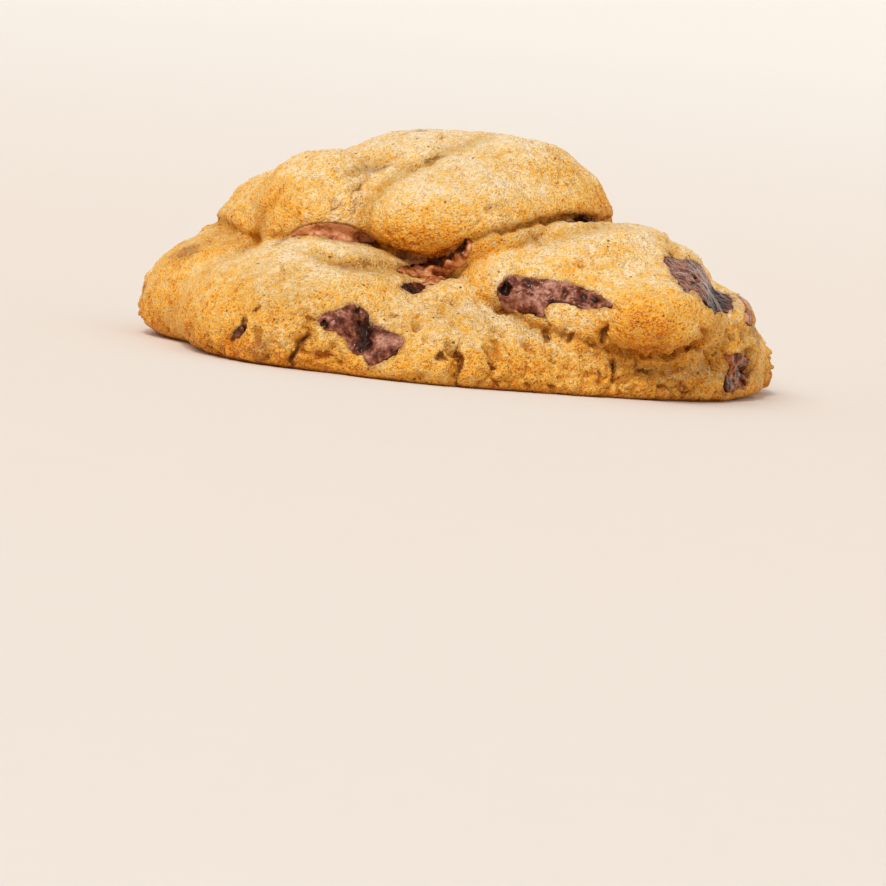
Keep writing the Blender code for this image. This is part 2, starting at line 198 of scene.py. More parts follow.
class Side(Enum):
    """A direction that the cookie is seen from: its axes across, up and toward, and where marks start."""

    FRONT = (
        (1, 0, 0),
        (0, math.sin(LOOK_DOWN), math.cos(LOOK_DOWN)),
        (0, -math.cos(LOOK_DOWN), math.sin(LOOK_DOWN)),
        -4.0,
    )
    BACK = ((-1, 0, 0), (0, 0, 1), (0, 1, 0), 0.0)
    LEFT = ((0, -1, 0), (0, 0, 1), (-1, 0, 0), 10.0)
    RIGHT = ((0, 1, 0), (0, 0, 1), (1, 0, 0), 14.0)
    TOP = ((1, 0, 0), (0, 1, 0), (0, 0, 1), 14.0)

    def coordinates(self, points: np.ndarray) -> list:
        """Return the across, up and toward coordinates of points."""
        return [points @ np.array(axis, np.float32) for axis in self.value[:3]]

    def place(self, across: np.ndarray, up: np.ndarray, toward: np.ndarray) -> np.ndarray:
        """Return the points that have these coordinates."""
        return np.stack([across, up, toward], -1).astype(np.float32) @ np.array(self.value[:3], np.float32)

    def facing(self, points: np.ndarray) -> np.ndarray:
        """Return how fully marks drawn on this side reach points."""
        return np.clip((self.coordinates(points)[2] - self.value[3]) / MARK_FADE, 0, 1)


@dataclass(frozen=True)
class Lobe:
    """One lump of dough: an ellipsoid that melts into the lumps listed before it."""

    centre: tuple
    radii: tuple
    blend: float = 1.0

    def distance(self, points: np.ndarray) -> np.ndarray:
        """Return the distance of points from the lobe, negative inside."""
        offset = points - np.array(self.centre, np.float32)
        radii = np.array(self.radii, np.float32)
        reach = np.linalg.norm(offset / radii, axis=-1)
        slope = np.linalg.norm(offset / radii**2, axis=-1) + TINY
        return reach * (reach - 1.0) / slope


@dataclass(frozen=True)
class Fold:
    """A crease or crack in the dough, drawn on one side as points (across, up, depth).

    The sharper it is, the more it ends in a thin deep line, darkened with painted shade.
    """

    side: Side
    path: tuple
    width: float
    sharp: float = 0.6

    def trace(self, points: np.ndarray, reach: float) -> tuple:
        """Follow the drawn line.

        Args:
            points: Rows of coordinates, in millimetres.
            reach: How far from the line anything is worked out.

        Returns:
            How far each point is from the line, and the line's depth there.
        """
        flat = points.reshape(-1, 3)
        across, up, toward = self.side.coordinates(flat)
        drawn = np.array(self.path)
        near = toward > self.side.value[3]
        for values, column in ((across, 0), (up, 1)):
            near &= (values > drawn[:, column].min() - reach) & (values < drawn[:, column].max() + reach)
        across, up = across[near], up[near]
        closest = np.full(across.shape, FAR, np.float32)
        depth = np.zeros(across.shape, np.float32)
        for start, end in zip(self.path, self.path[1:]):
            along, away = from_line(across, up, start, end)
            depth = np.where(away < closest, start[2] + along * (end[2] - start[2]), depth)
            closest = np.minimum(closest, away)
        distances = np.full(len(flat), FAR, np.float32)
        depths = np.zeros(len(flat), np.float32)
        distances[near] = closest
        depths[near] = depth * self.side.facing(flat[near])
        return distances.reshape(points.shape[:-1]), depths.reshape(points.shape[:-1])

    def depth(self, points: np.ndarray, share: float = 1.0) -> np.ndarray:
        """Return how far it sets the surface back at points, drawn this share as wide."""
        width = self.width * share
        away, depth = self.trace(points, 3 * width)
        return depth * np.exp(-((away / width) ** 2))


@dataclass(frozen=True)
class Patch:
    """A soft oval area drawn on one side: (across, up) of its middle, its radii and its strength."""

    side: Side
    middle: tuple
    radii: tuple
    strength: float
    turn: float = 0.0

    def weight(self, points: np.ndarray) -> np.ndarray:
        """Return the patch's strength at points."""
        across, up, _ = self.side.coordinates(points)
        cos, sin = math.cos(math.radians(self.turn)), math.sin(math.radians(self.turn))
        dx, dy = across - self.middle[0], up - self.middle[1]
        first = (dx * cos + dy * sin) / self.radii[0]
        second = (dy * cos - dx * sin) / self.radii[1]
        return self.strength * np.exp(-(first**2 + second**2)) * self.side.facing(points)


def marks(kind: type, rows: dict) -> dict:
    """Return the folds or chunks of rows kept by side and name, which give all values after the side."""
    return {name: kind(side, *row) for side, drawn in rows.items() for name, row in drawn.items()}


def cracks(rows: dict) -> tuple:
    """Return the narrow folds of rows (width, path's points) kept by side."""
    return tuple(Fold(side, tuple(way), width) for side, drawn in rows.items() for width, *way in drawn)


def patches(rows: dict) -> tuple:
    """Return the patches of rows (across, up, width, height, strength, turn) kept by side."""
    return tuple(Patch(side, row[:2], row[2:4], *row[4:]) for side, drawn in rows.items() for row in drawn)


BASE = (
    Lobe((1.0, 1.0, 1.8), (44.3, 40.0, 9.2)),
    Lobe((-20, -16, 4.6), (20.5, 26.5, 13.0), 2.0),
    Lobe((-5, -19, 2.6), (27, 25, 9.6), 1.5),
    Lobe((-31.8, 0, 4.6), (15.0, 18, 12.6), 1.2),
    Lobe((-33, 7, 10.5), (6.8, 12, 9.0), 1.0),
    Lobe((38.6, 5, 4), (7.4, 12, 6.5), 0.6),
    Lobe((30, 20, 6), (12.5, 13, 10), 0.8),
    Lobe((14, 24, 8), (16, 17.5, 11.5), 0.9),
    Lobe((-14, 25, 7), (18, 16.5, 12), 0.9),
    Lobe((2, 34, 4), (14, 8.5, 7), 0.7),
    Lobe((-1.0, -23.5, 9.4), (6.0, 8.0, 4.4), 1.5),
    Lobe((-32, 18, 6), (11, 13, 9.5), 0.8),
)
SHOULDER = (
    Lobe((18.5, -9, 9.2), (19.5, 22, 15.0)),
    Lobe((27, -21, 11.5), (10.8, 15.2, 7.0), 1.0),
    Lobe((30, -1, 12.3), (6.5, 10, 8.4), 1.0),
    Lobe((36, -7, 8), (7.5, 12, 8), 1.0),
    Lobe((5.8, -17.5, 12.0), (7.2, 11.0, 7.2), 2.0),
)
CROWN = (
    Lobe((-3.5, 4, 17.5), (23.5, 21, 16.0)),
    Lobe((4.7, 2, 18.5), (17.8, 19, 15.3), 1.5),
    Lobe((-2, -10.5, 20.5), (15.5, 13.5, 8.8), 2.5),
    Lobe((-20, -5, 18), (11.5, 13, 11.6), 0.7),
    Lobe((-23.5, 6, 13), (13.6, 17, 13.0), 1.2),
    Lobe((6, 15, 15), (16, 13, 12.5), 0.8),
)
GROUPS = (BASE, SHOULDER, CROWN)

FOLDS = marks(Fold, {
    Side.FRONT: {
        "under_crown": (((-28, 15, 0.2), (-20, 17.2, 0.8), (-14.6, 16.4, 1.2), (-9.3, 14.6, 0.9),
            (-4.9, 14.1, 0.9), (1.9, 18.2, 0.5), (13.2, 22.4, 1), (21.9, 23.2, 0.6)), 0.55, 0.8),
        "shoulder_edge": (((-2.5, 11.6, 0.1), (5.9, 8.2, 0.5), (10.6, 6.1, 0.6), (15, 5.2, 0.5),
            (19.4, 4.8, 0.5)), 0.6),
        "cheek_edge": (((19.4, 4.8, 0.4), (25, 3.7, 0.8), (30.5, 3.9, 0.9), (34.5, 6.3, 0.7),
            (37, 9.4, 0.3)), 0.55, 0.8),
        "crown_valley": (((-14.6, 16.4, 0.9), (-15, 20.5, 0.9), (-12, 25, 0.9), (-7.5, 28.2, 0.9),
            (1.9, 33.6, 0.7)), 1.9, 0),
        "crown_hollow": (((-19.2, 25.2, 0.4), (-15, 27, 1), (-10.9, 29, 0.4)), 2.4, 0),
        "crown_left_edge": (((-27.2, 22, 0.2), (-29.5, 18.5, 0.6), (-30.4, 14.2, 0.9), (-33, 12.4, 0.6),
            (-38.5, 9.8, 0.1)), 1.2, 0.3),
        "left_roll": (((-24, 14.2, 0.2), (-19.9, 12.5, 1.1), (-15.1, 12, 1.4), (-9.3, 12.1, 0.9),
            (-5.5, 11, 0.2)), 1.1, 0.4),
        "shoulder_roll": (((7.6, 17.8, 0.2), (10.2, 18.2, 0.6), (14, 19.9, 0.8), (17.8, 21.2, 0.9),
            (20.4, 22, 0.7), (25, 23.2, 0.3)), 1.3, 0.15),
        "right_hump": (((29.2, 20.4, 0.5), (30.2, 18.9, 0.9), (30.7, 17.4, 0.4)), 0.9, 0.3),
        "right_end_cleft": (((41, 9, 0.3), (42.3, 5.5, 0.7), (41.6, 2.2, 0.6),
            (40.8, 0.2, 0.4)), 0.9, 0.3),
        "rim_fissure": (((-1.2, 2.6, 0.6), (0.4, 0.4, 0.7), (0.2, -2.6, 0.4)), 0.7, 0.2),
        "rim_break": (((20.6, 3, 0.3), (24, 0.8, 0.6), (28.6, 1, 0.6), (32, 2.4, 0.3)), 0.8, 0.2),
    },
    Side.BACK: {
        "back_under_crown": (((-24, 14, 0.2), (-16, 17.5, 1), (-6, 15.5, 1.1), (3, 17.8, 0.9),
            (14, 16, 1), (26, 17, 0.2)), 0.8),
        "back_seam": (((-1, 16, 0.7), (1.5, 10, 1), (-2.5, 5.5, 0.8), (-8, 2.5, 0.3)), 0.9),
        "back_crown_seam": (((-6, 16, 0.8), (-8, 22, 0.8), (-3, 27, 0.7), (2, 30.5, 0.3)), 1.6, 0.15),
        "back_rim_crack": (((17, 9, 0.3), (19.5, 5, 0.8), (18, 1, 0.6)), 0.7, 0.4),
    },
    Side.LEFT: {
        "left_seam": (((-12, 3, 0.4), (-9.5, 8, 0.9), (-11, 13.5, 0.6)), 1, 0.4),
        "left_crown_edge": (((-20, 14, 0.2), (-8, 17, 0.9), (3, 16.2, 0.9), (14, 14, 0.2)), 0.9, 0.5),
    },
    Side.RIGHT: {
        "right_seam": (((11.5, 2, 0.4), (12.5, 7, 0.9), (10, 13.5, 0.8), (12, 18, 0.2)), 0.9, 0.5),
        "right_ledge": (((-16, 9, 0.2), (-6, 11.4, 0.8), (3, 10.2, 0.9), (10, 12, 0.3)), 0.9, 0.4),
    },
    Side.TOP: {
        "top_seam": (((-16, 14, 0.4), (-9, 9, 0.8), (-2, 12, 0.7), (6, 9, 0.2)), 1.6, 0.2),
    },
})

# Narrow cracks and holes of the crust, which wander a little from the drawn line and get painted shade inside
CRACKS = cracks({
    Side.FRONT: (
        (0.45, (-30.2, 2.7, 1), (-30.8, 1.2, 1.5), (-31.6, 0, 0.9)),
        (0.35, (-28.4, 5.1, 0.9), (-28.8, 4.3, 1.1)),
        (0.42, (-20.9, 2.3, 0.6), (-21.2, 1.2, 1.5), (-22.2, 0.5, 0.9), (-22, -0.7, 1), (-23, -2.2, 1.3),
            (-22.6, -3.2, 0.8)),
        (0.45, (-2, 0.7, 1.5), (-1.4, 0.5, 1.2)),
        (0.35, (0.3, 2.9, 0.5), (0.3, 1.4, 1), (0.9, -0.6, 0.9), (0.5, -3.6, 0.9)),
        (0.4, (12.4, 5.6, 0.6), (12.9, 4.6, 1.2)),
        (0.32, (21, 7.2, 0.8), (20.7, 6.1, 1.3), (20.9, 5.2, 0.9)),
        (0.35, (22.3, 2.6, 1.1), (22.8, 1.6, 1.3), (23.2, 0.3, 0.6)),
        (0.35, (20.8, 0.9, 0.9), (21.2, 0.3, 0.9)),
        (0.32, (25.8, 2.4, 0.7), (26.6, 1.5, 1.1), (28.6, 1.7, 0.8)),
        (0.35, (5, 0.6, 0.7), (5.8, -0.3, 0.9)),
        (0.28, (-10.2, 5.3, 0.4), (-9, 5.6, 0.9), (-7.6, 5.7, 0.5)),
        (0.25, (-7.4, 5.2, 0.5), (-6.4, 4.6, 0.7), (-5.6, 3.8, 0.4)),
        (0.35, (-25.5, 10.5, 0.4), (-25, 9.6, 0.7)), (0.35, (-36.6, 9.6, 0.5), (-36.9, 8.8, 0.5)),
        (0.42, (-4.6, 29.6, 0.7), (-6.6, 28.6, 0.9), (-9.2, 27.2, 0.4)),
        (0.32, (-14.4, 25.6, 0.2), (-16, 23.8, 0.7), (-16.8, 21.9, 0.4), (-16.2, 20.6, 0.7),
            (-16.6, 19.2, 0.3)),
        (0.35, (-20.2, 19.6, 0.4), (-19, 20.2, 0.7), (-18.2, 21.2, 0.3)),
        (0.28, (6.9, 12, 0.4), (7.7, 13.4, 0.7)), (0.3, (20.6, 10.6, 0.6), (22.4, 9.6, 0.6)),
        (0.3, (4.4, 8.4, 0.4), (6, 8.1, 0.8), (7, 7.9, 0.4)), (0.3, (12, 7.4, 0.4), (13.2, 6.4, 0.7)),
        (0.5, (33.5, 5.8, 0.3), (34.4, 5.3, 0.8), (35.9, 5.1, 0.3)),
        (0.35, (35, 8.6, 0.3), (35.2, 7.9, 0.9)),
        (0.25, (31.2, 16.3, 0.5), (33, 15.3, 0.6), (34.8, 13.9, 0.5)),
        (0.35, (9.2, 19.4, 0.2), (10.6, 18.6, 0.6), (11.4, 18.8, 0.2)),
        (0.3, (0.8, 19.6, 0.5), (2, 20.4, 0.5)), (0.3, (2.4, 21.6, 0.4), (3.2, 22.8, 0.6)),
        (0.3, (7.6, 26.8, 0.4), (7.9, 26, 0.6)), (0.4, (36.6, 4.2, 0.6), (37.2, 3.2, 0.9)),
    ),
    Side.BACK: (
        (0.42, (8, 9, 0.6), (7.2, 6, 1.2), (8.6, 3.4, 0.9)),
        (0.4, (-20, 4.5, 0.6), (-21.5, 2.5, 1.1), (-20.8, 0.8, 0.7)),
        (0.4, (-6, 7.2, 0.8), (-5.2, 6.2, 1.1)), (0.4, (28, 6.4, 0.7), (27.2, 4.4, 1.1), (28.4, 2.6, 0.6)),
        (0.35, (12.5, 21, 0.5), (13.6, 19.6, 0.8)),
    ),
    Side.LEFT: (
        (0.4, (8, 6, 0.6), (7.4, 4, 1.1), (8.4, 2, 0.7)), (0.4, (-21, 6.5, 0.7), (-20.2, 4.6, 1.1)),
        (0.38, (19, 5, 0.5), (20.5, 3.6, 0.9), (20, 2, 0.5)),
    ),
    Side.RIGHT: (
        (0.4, (-12, 7, 0.6), (-11.2, 5, 1.1), (-12.4, 2.8, 0.8)), (0.4, (2, 6, 0.8), (3, 4.6, 1.1)),
        (0.38, (26, 5.5, 0.5), (25.2, 3.6, 0.9)),
    ),
    Side.TOP: (
        (0.4, (-6, -2, 0.4), (-4.8, -0.6, 0.8), (-5.2, 1.2, 0.4)), (0.4, (14, 4, 0.4), (15.4, 5.4, 0.7)),
    ),
})

# Patches that make the crust browner (positive) or paler (negative) than its surroundings; the paler ones low
# under the right cheek and low on the left front are painted light that lifts places in shade
BROWNING_AND_PAINTED_LIGHT = patches({
    Side.FRONT: (
        (-40, 4.5, 8, 6, 0.14), (-33, -1, 7, 4.5, 0.14), (-39.5, 12, 5, 2.4, 0.34, 28),
        (30, 2.6, 9, 3, -0.16), (-34.5, 1, 7, 3, -0.14), (-9, 23, 16, 6, -0.12),
        (27.5, 8, 6.5, 4, 0.36, 10), (17, 14.8, 9, 1.8, 0.16, -12), (33, 0, 9, 3, 0.12),
        (-27.5, 19.5, 2.6, 5, 0.18, 20), (12, 29.5, 7, 2.4, 0.16, -25), (21, 27, 2.4, 5, 0.2, -30),
        (5, 0, 14, 3, 0.1), (-24, -2.5, 8, 2, 0.14), (-5.5, 17, 8, 3, 0.3), (12, 24, 8, 2, 0.12, 8),
        (3, 9.5, 4, 4, -0.06), (-31, 14, 3, 3, -0.06), (44.8, 5, 2, 5, 0.18),
    ),
})

# Where melted chocolate has stained the dough; the wide patch at (-12.6, 12.7) is painted shade on the shelf
# under the crown
STAINS = patches({
    Side.FRONT: (
        # The patch at (-12.6, 12.7) is painted shade on the shelf under the crown
        (-17.2, 11.8, 2.8, 0.6, 0.62, -12), (-12, 11.6, 4, 0.7, 0.38, 2), (-12.6, 12.7, 6, 1.6, 0.42),
        (-6.6, 12.3, 2.6, 1, 0.62, 6), (-6.8, 13.9, 3.6, 0.9, 1.05, -10), (-2.4, 13, 2, 1.5, 0.6, 40),
        (-27.2, -0.9, 2, 2.6, 0.6, -20), (-30.8, 1, 0.7, 1.5, 0.8, -20), (-8.4, 4.2, 2.4, 1.2, 0.42, -25),
        (-12, 6.6, 2.6, 0.6, 0.3, -10), (-16.6, 1.4, 1.8, 1.4, 0.36, 40), (-16, 26.2, 3.6, 0.9, 0.45, 14),
        (-13.4, 26.8, 2.8, 0.35, 0.75, 26), (3.8, 23.2, 1.4, 3, 0.36, -28), (-40, 12, 3.4, 1.1, 0.72, 28),
        (30.6, 16.4, 3, 0.8, 0.62, -18), (43.4, 8.2, 1.9, 0.9, 0.55, -40), (5, 11, 1.2, 2.6, 0.45, 20),
        (9.4, 19, 2.4, 0.6, 0.35, 12), (18, 22.9, 2.6, 0.8, 0.45, 5), (-26.4, 14.8, 1.8, 0.5, 0.7, 42),
        (39.4, 0.4, 1.6, 0.9, 0.6, 10),
    ),
    Side.BACK: (
        (-21, 12, 2.6, 0.8, 0.5, 20), (5, 24, 3.4, 0.7, 0.55, -16), (15, 5, 2.6, 1, 0.45, 25),
        (-4, 16.2, 4, 0.7, 0.65, 6),
    ),
    Side.LEFT: (
        (2, 14.2, 3.2, 0.8, 0.5, -12), (14, 4.5, 2, 1.2, 0.45, 10),
    ),
    Side.RIGHT: (
        (-13, 14, 3, 0.8, 0.5, 14), (9, 5, 2.2, 1, 0.45, -18),
    ),
    Side.TOP: (
        (-9, 3, 4.6, 0.8, 0.5, 30), (12, 8, 3, 0.8, 0.45, -25),
    ),
})

# Parts of the front under the crown that get painted shade, a duller and yellower tint
CROWN_SHADE = patches({
    Side.FRONT: (
        (-13, 12.4, 7, 2.4, 0.8), (-5, 17.2, 9, 2, 0.42), (-25, 7.2, 9, 5, 0.66), (0, 6.6, 9, 4, 0.58),
    ),
})

# Where the crust baked smooth, with few cracks and crumbs
SMOOTHER = patches({
    Side.FRONT: (
        (-40.5, 5.5, 10, 8, 0.75), (27, 8.5, 7, 4.5, 0.6), (-12, 11.5, 14, 2.5, 0.25),
        (8, 18.5, 10, 3, 0.45, 14), (20, 12, 8, 5, 0.2), (44.5, 4.5, 3.5, 9, 0.7),
    ),
})


class Cast(Enum):
    """How a piece of chocolate has set: how far it stands out, the swell and the grain of its surface."""

    FLUSH = (-0.12, 0.16, 0.05)
    SUNK = (-0.30, 0.22, 0.10)
    ROUGH = (-0.10, 0.20, 0.24)
    SMOOTH = (-0.05, 0.08, 0.02)
    FILLED = (0.15, 0.25, 0.16)


@dataclass(frozen=True)
class Chunk:
    """A piece of chocolate bedded in the dough, drawn as an outline on one side.

    Dents are (across, up, radius, depth), in millimetres. A negative depth stands out.
    """

    side: Side
    outline: tuple
    cast: Cast = Cast.FLUSH
    dents: tuple = ()
    bloom: float = 0.45
    warmth: float = 0.15
    ragged: float = 0.5
    room: float = 2.0

    def middle(self) -> np.ndarray:
        """Return the middle of the outline."""
        return np.mean(np.array(self.outline, float), axis=0)

    def reach(self) -> float:
        """Return how far the chunk may spread from its middle."""
        spread = np.linalg.norm(np.array(self.outline, float) - self.middle(), axis=1)
        return float(spread.max()) + self.room

    def edge(self, points: np.ndarray) -> np.ndarray:
        """Return the distance from the chunk's ragged outline, negative inside."""
        across, up, _ = self.side.coordinates(points)
        wander = self.ragged * (noise(points, 1.9, 41) + 0.5 * noise(points, 0.8, 42))
        return outline_distance(across, up, self.outline) + wander

    def height(self, points: np.ndarray) -> np.ndarray:
        """Return how far the chocolate stands out of the dough at points."""
        stand, swell, grain = self.cast.value
        level = stand + swell * noise(points, 2.4, 51) + grain * noise(points, 0.75, 52)
        for depth, share in self._dented(points):
            level = level - depth * share
        return np.maximum(level, -DEEPEST_DENT)

    def painted_shade(self, points: np.ndarray) -> np.ndarray:
        """Return how deep in its dents points are, from 0 to 1, which sets the painted shade there."""
        deepest = np.zeros(points.shape[:-1], np.float32)
        for depth, share in self._dented(points):
            deepest = np.maximum(deepest, min(max(depth / DARK_DENT, 0.0), 1.0) * share)
        return deepest

    def _dented(self, points: np.ndarray) -> list:
        """Return each dent's depth, with the share of it at points, its outline crooked."""
        across, up, _ = self.side.coordinates(points)
        across = across + DENT_WANDER * noise(points, 0.9, 53)
        up = up + DENT_WANDER * noise(points, 0.9, 54)
        return [
            (depth, np.exp(-((np.hypot(across - x, up - y) / radius) ** 4)))
            for x, y, radius, depth in self.dents
        ]


CHUNKS = marks(Chunk, {
    Side.FRONT: {
        "chocolate_front": (
            ((-19.8, 3.9), (-19.2, 4.7), (-17.8, 5.3), (-16.3, 5.9), (-14.8, 6.3), (-13.5, 6.1), (-12.2, 5.0),
             (-11.0, 4.1), (-10.1, 3.2), (-7.7, 2.6), (-7.3, 2.0), (-8.3, 0.3), (-10.0, -1.3), (-11.4, -2.1),
             (-12.5, -1.6), (-12.9, -0.5), (-14.4, -0.1), (-15.2, 1.0), (-15.9, 2.2), (-17.3, 3.0),
             (-18.4, 2.6), (-19.2, 3.1)),
            Cast.FLUSH,
            ((-13.0, 3.2, 1.35, 1.0), (-12.8, 1.2, 0.9, 0.6), (-14.4, 5.8, 0.45, 0.9),
             (-10.2, 0.9, 1.8, -0.40), (-17.2, 4.3, 1.7, -0.25), (-18.6, 3.3, 0.6, 0.5),
             (-13.6, 0.2, 0.8, -0.25), (-11.6, 3.0, 0.6, -0.2)),
            0.58,
        ),
        "chocolate_shoulder": (
            ((5.5, 10.1), (5.6, 11.2), (6.3, 12.4), (7.7, 12.8), (9.5, 13.1), (11.1, 13.0), (12.7, 12.9),
             (15.1, 12.9), (17.0, 12.4), (18.7, 12.0), (21.4, 10.6), (20.0, 9.8), (17.6, 9.6), (15.3, 10.0),
             (12.9, 9.7), (12.1, 8.9), (11.9, 8.0), (11.0, 7.4), (10.1, 7.7), (8.2, 7.8), (6.7, 8.1),
             (6.0, 9.1)),
            Cast.FLUSH,
            ((6.3, 11.2, 0.8, 0.9), (9.2, 10.4, 2.2, -0.55), (10.2, 10.5, 0.3, 0.4), (14.6, 11.2, 0.6, 0.4),
             (16.4, 11.6, 0.5, -0.3), (17.6, 10.9, 0.6, 0.5), (19.0, 11.0, 0.5, 0.5),
             (13.2, 11.6, 0.6, -0.25)),
            0.55,
        ),
        "chocolate_right_upper": (
            ((28.8, 18.2), (31.3, 18.3), (35.0, 17.8), (38.4, 15.9), (39.6, 13.6), (38.8, 11.2), (36.6, 10.7),
             (34.6, 11.9), (33.6, 13.4), (31.8, 13.8), (29.4, 15.7)),
            Cast.FLUSH, ((37.0, 12.9, 2.2, 0.5), (33.2, 15.4, 0.5, 0.5)), 0.45, 0.25, 0.5, 9.0,
        ),
        "chocolate_right_low": (
            ((39.0, 5.0), (41.2, 5.8), (43.0, 5.0), (43.4, 3.8), (43.0, 2.1), (42.2, 0.8), (40.6, 0.1),
             (38.7, -0.4), (39.1, 1.6), (39.6, 3.5)),
            Cast.ROUGH,
            ((41.3, 3.3, 0.45, 0.7), (42.0, 1.8, 0.45, 0.6), (40.6, 4.9, 0.5, 0.5), (40.4, 1.6, 0.4, 0.5)),
            0.24, 1.0,
        ),
        "chocolate_lens": (
            ((-25.6, 15.6), (-24.2, 16.7), (-22.3, 17.5), (-19.6, 18.0), (-17.2, 17.8), (-14.5, 17.0),
             (-13.2, 16.2), (-15.9, 15.9), (-18.4, 15.5), (-20.9, 15.9), (-22.8, 16.2)),
            Cast.SMOOTH, ((-15.4, 16.3, 1.4, 0.3), (-19.5, 15.5, 1.4, 0.3)), 0.95, 0.85, 0.25,
        ),
        "chocolate_crevice": (
            ((-9.2, 13.0), (-6.5, 13.9), (-3.8, 14.6), (-0.9, 16.2), (0.2, 17.2), (0.2, 15.8), (-1.0, 13.6),
             (-2.2, 11.9), (-3.6, 10.9), (-4.8, 10.6), (-5.8, 11.3), (-7.6, 11.9)),
            Cast.FILLED,
            ((-7.8, 13.8, 0.9, 0.6), (-5.6, 14.0, 1.0, 0.8), (-3.8, 14.3, 1.0, 0.9), (-2.2, 15.2, 1.0, 0.9),
             (-0.6, 16.4, 0.9, 0.8), (-4.6, 11.6, 0.6, -0.3), (-2.6, 12.6, 0.6, -0.3),
             (-1.6, 14.0, 0.5, -0.3)),
            0.62, 0.90, 0.75,
        ),
    },
    Side.RIGHT: {
        "chocolate_right_side": (lump_outline((-3.5, 11.8), (10, 6.5), 15, 3),),
        "chocolate_right_back": (
            lump_outline((19, 8.0), (10, 7), -25, 4), Cast.ROUGH, ((18, 8.4, 1.0, 0.6),), 0.3, 0.6,
        ),
    },
    Side.LEFT: {
        "chocolate_left_side": (
            lump_outline((-12.5, 9.8), (11, 7), 8, 5), Cast.FLUSH, ((-14, 10.2, 1.3, 0.8),), 0.5,
        ),
        "chocolate_left_back": (lump_outline((-27, 7.0), (8, 7), 40, 6), Cast.SUNK, (), 0.4, 0.5),
    },
    Side.BACK: {
        "chocolate_back_low": (
            lump_outline((-15, 7.5), (14, 8), -12, 7),
            Cast.FLUSH, ((-16.5, 7.5, 1.5, 0.9), (-12.6, 8.4, 1.8, -0.4), (-18.6, 9.0, 0.6, 0.5)), 0.5,
        ),
        "chocolate_back_upper": (
            lump_outline((-14.5, 20.5), (12, 7), 18, 8), Cast.SMOOTH, ((-11.6, 21.6, 1.0, 0.5),), 0.6, 0.5,
        ),
        "chocolate_back_left": (
            lump_outline((21, 10.5), (11, 8), 30, 9), Cast.SUNK, ((20, 10.2, 1.4, 0.6),), 0.4, 0.2,
        ),
    },
    Side.TOP: {
        "chocolate_top": (
            lump_outline((4, 15.0), (11, 8), 30, 10), Cast.FLUSH, ((5.6, 15.8, 1.2, 0.7),), 0.5, 0.2,
        ),
        "chocolate_top_left": (lump_outline((-20, 12.5), (9, 7), -35, 11), Cast.SUNK, (), 0.5, 0.4),
    },
})

# Bits of chocolate too small to be parts of their own
BITS = marks(Chunk, {
    Side.FRONT: {
        "bit_crevice": (lump_outline((-6.9, 9.9), (3.5, 1.7), 8, 21), Cast.ROUGH, (), 0.15, 0.1, 0.3),
        "bit_left_hole": (lump_outline((-30.7, 1.0), (1.0, 2.3), -22, 22), Cast.ROUGH, (), 0.2, 0.5, 0.3),
        "bit_right_ledge": (
            ((40.0, 14.2), (41.3, 13.4), (42.6, 11.8), (42.4, 9.6), (41.3, 10.4), (41.4, 12.1)),
            Cast.SMOOTH, (), 0.5, 0.9, 0.3,
        ),
        "bit_crown_edge": (lump_outline((16.6, 22.4), (5.0, 0.9), 14, 29), Cast.SUNK, (), 0.05, 0.2, 0.25),
    },
    Side.BACK: {
        "bit_back_rim": (lump_outline((4.6, 5.4), (3.0, 2.4), 10, 25), Cast.ROUGH, (), 0.3, 0.3, 0.3),
        "bit_back_crown": (lump_outline((7.5, 22.6), (3.6, 2.0), 22, 26), Cast.FLUSH, (), 0.5, 0.3, 0.3),
    },
    Side.LEFT: {
        "bit_left_low": (lump_outline((3.5, 6.2), (3.0, 2.2), -18, 27), Cast.SUNK, (), 0.3, 0.3, 0.3),
    },
    Side.RIGHT: {
        "bit_right_low": (lump_outline((29.0, 4.6), (3.0, 2.0), 12, 28), Cast.FLUSH, (), 0.4, 0.3, 0.3),
    },
})


def lumps(points: np.ndarray) -> list:
    """Return the distances of points from each group of lobes, whose surfaces wander a little."""
    size, height = LOBE_WANDER
    moved = points + height * drift(points, size, 1)
    found = []
    for group in GROUPS:
        lump = np.full(points.shape[:-1], FAR, np.float32)
        for lobe in group:
            lump = smooth_min(lump, lobe.distance(moved), lobe.blend)
        found.append(lump)
    return found


def dough_distance(points: np.ndarray) -> np.ndarray:
    """Return the distance of points from the dough's surface in millimetres, negative inside."""
    total = np.full(points.shape[:-1], FAR, np.float32)
    for lump in lumps(points):
        total = smooth_min(total, lump, SEAM_BLEND)
    for fold in FOLDS.values():
        total = total + fold.depth(points)
    for size, height, seed in CRUST_RELIEF:
        total = total + height * noise(points, size, seed)
    left_end = np.clip((-points[..., 0] - LEFT_END[0]) / LEFT_END[1], 0, 1)
    rounding = RIM_ROUNDING + (LEFT_ROUNDING - RIM_ROUNDING) * left_end
    return smooth_max(total, -points[..., 2], rounding)


def seam_closeness(points: np.ndarray, reach: float) -> np.ndarray:
    """Return how near points are to a seam between groups of lobes, from 0 to 1."""
    nearest = np.sort(np.stack(lumps(points)), axis=0)
    return np.exp(-(((nearest[1] - nearest[0]) / reach) ** 2))


def largest_piece(points: np.ndarray, faces: np.ndarray) -> tuple:
    """Return the points and faces of the largest connected piece of a mesh."""
    label = np.arange(len(points))
    while True:
        lowest = label.copy()
        np.minimum.at(lowest, faces.ravel(), np.repeat(label[faces].min(axis=1), faces.shape[1]))
        lowest = lowest[lowest]
        if np.array_equal(lowest, label):
            break
        label = lowest
    kept = label == np.bincount(label).argmax()
    number = np.cumsum(kept) - 1
    return points[kept], number[faces[kept[faces[:, 0]]]]


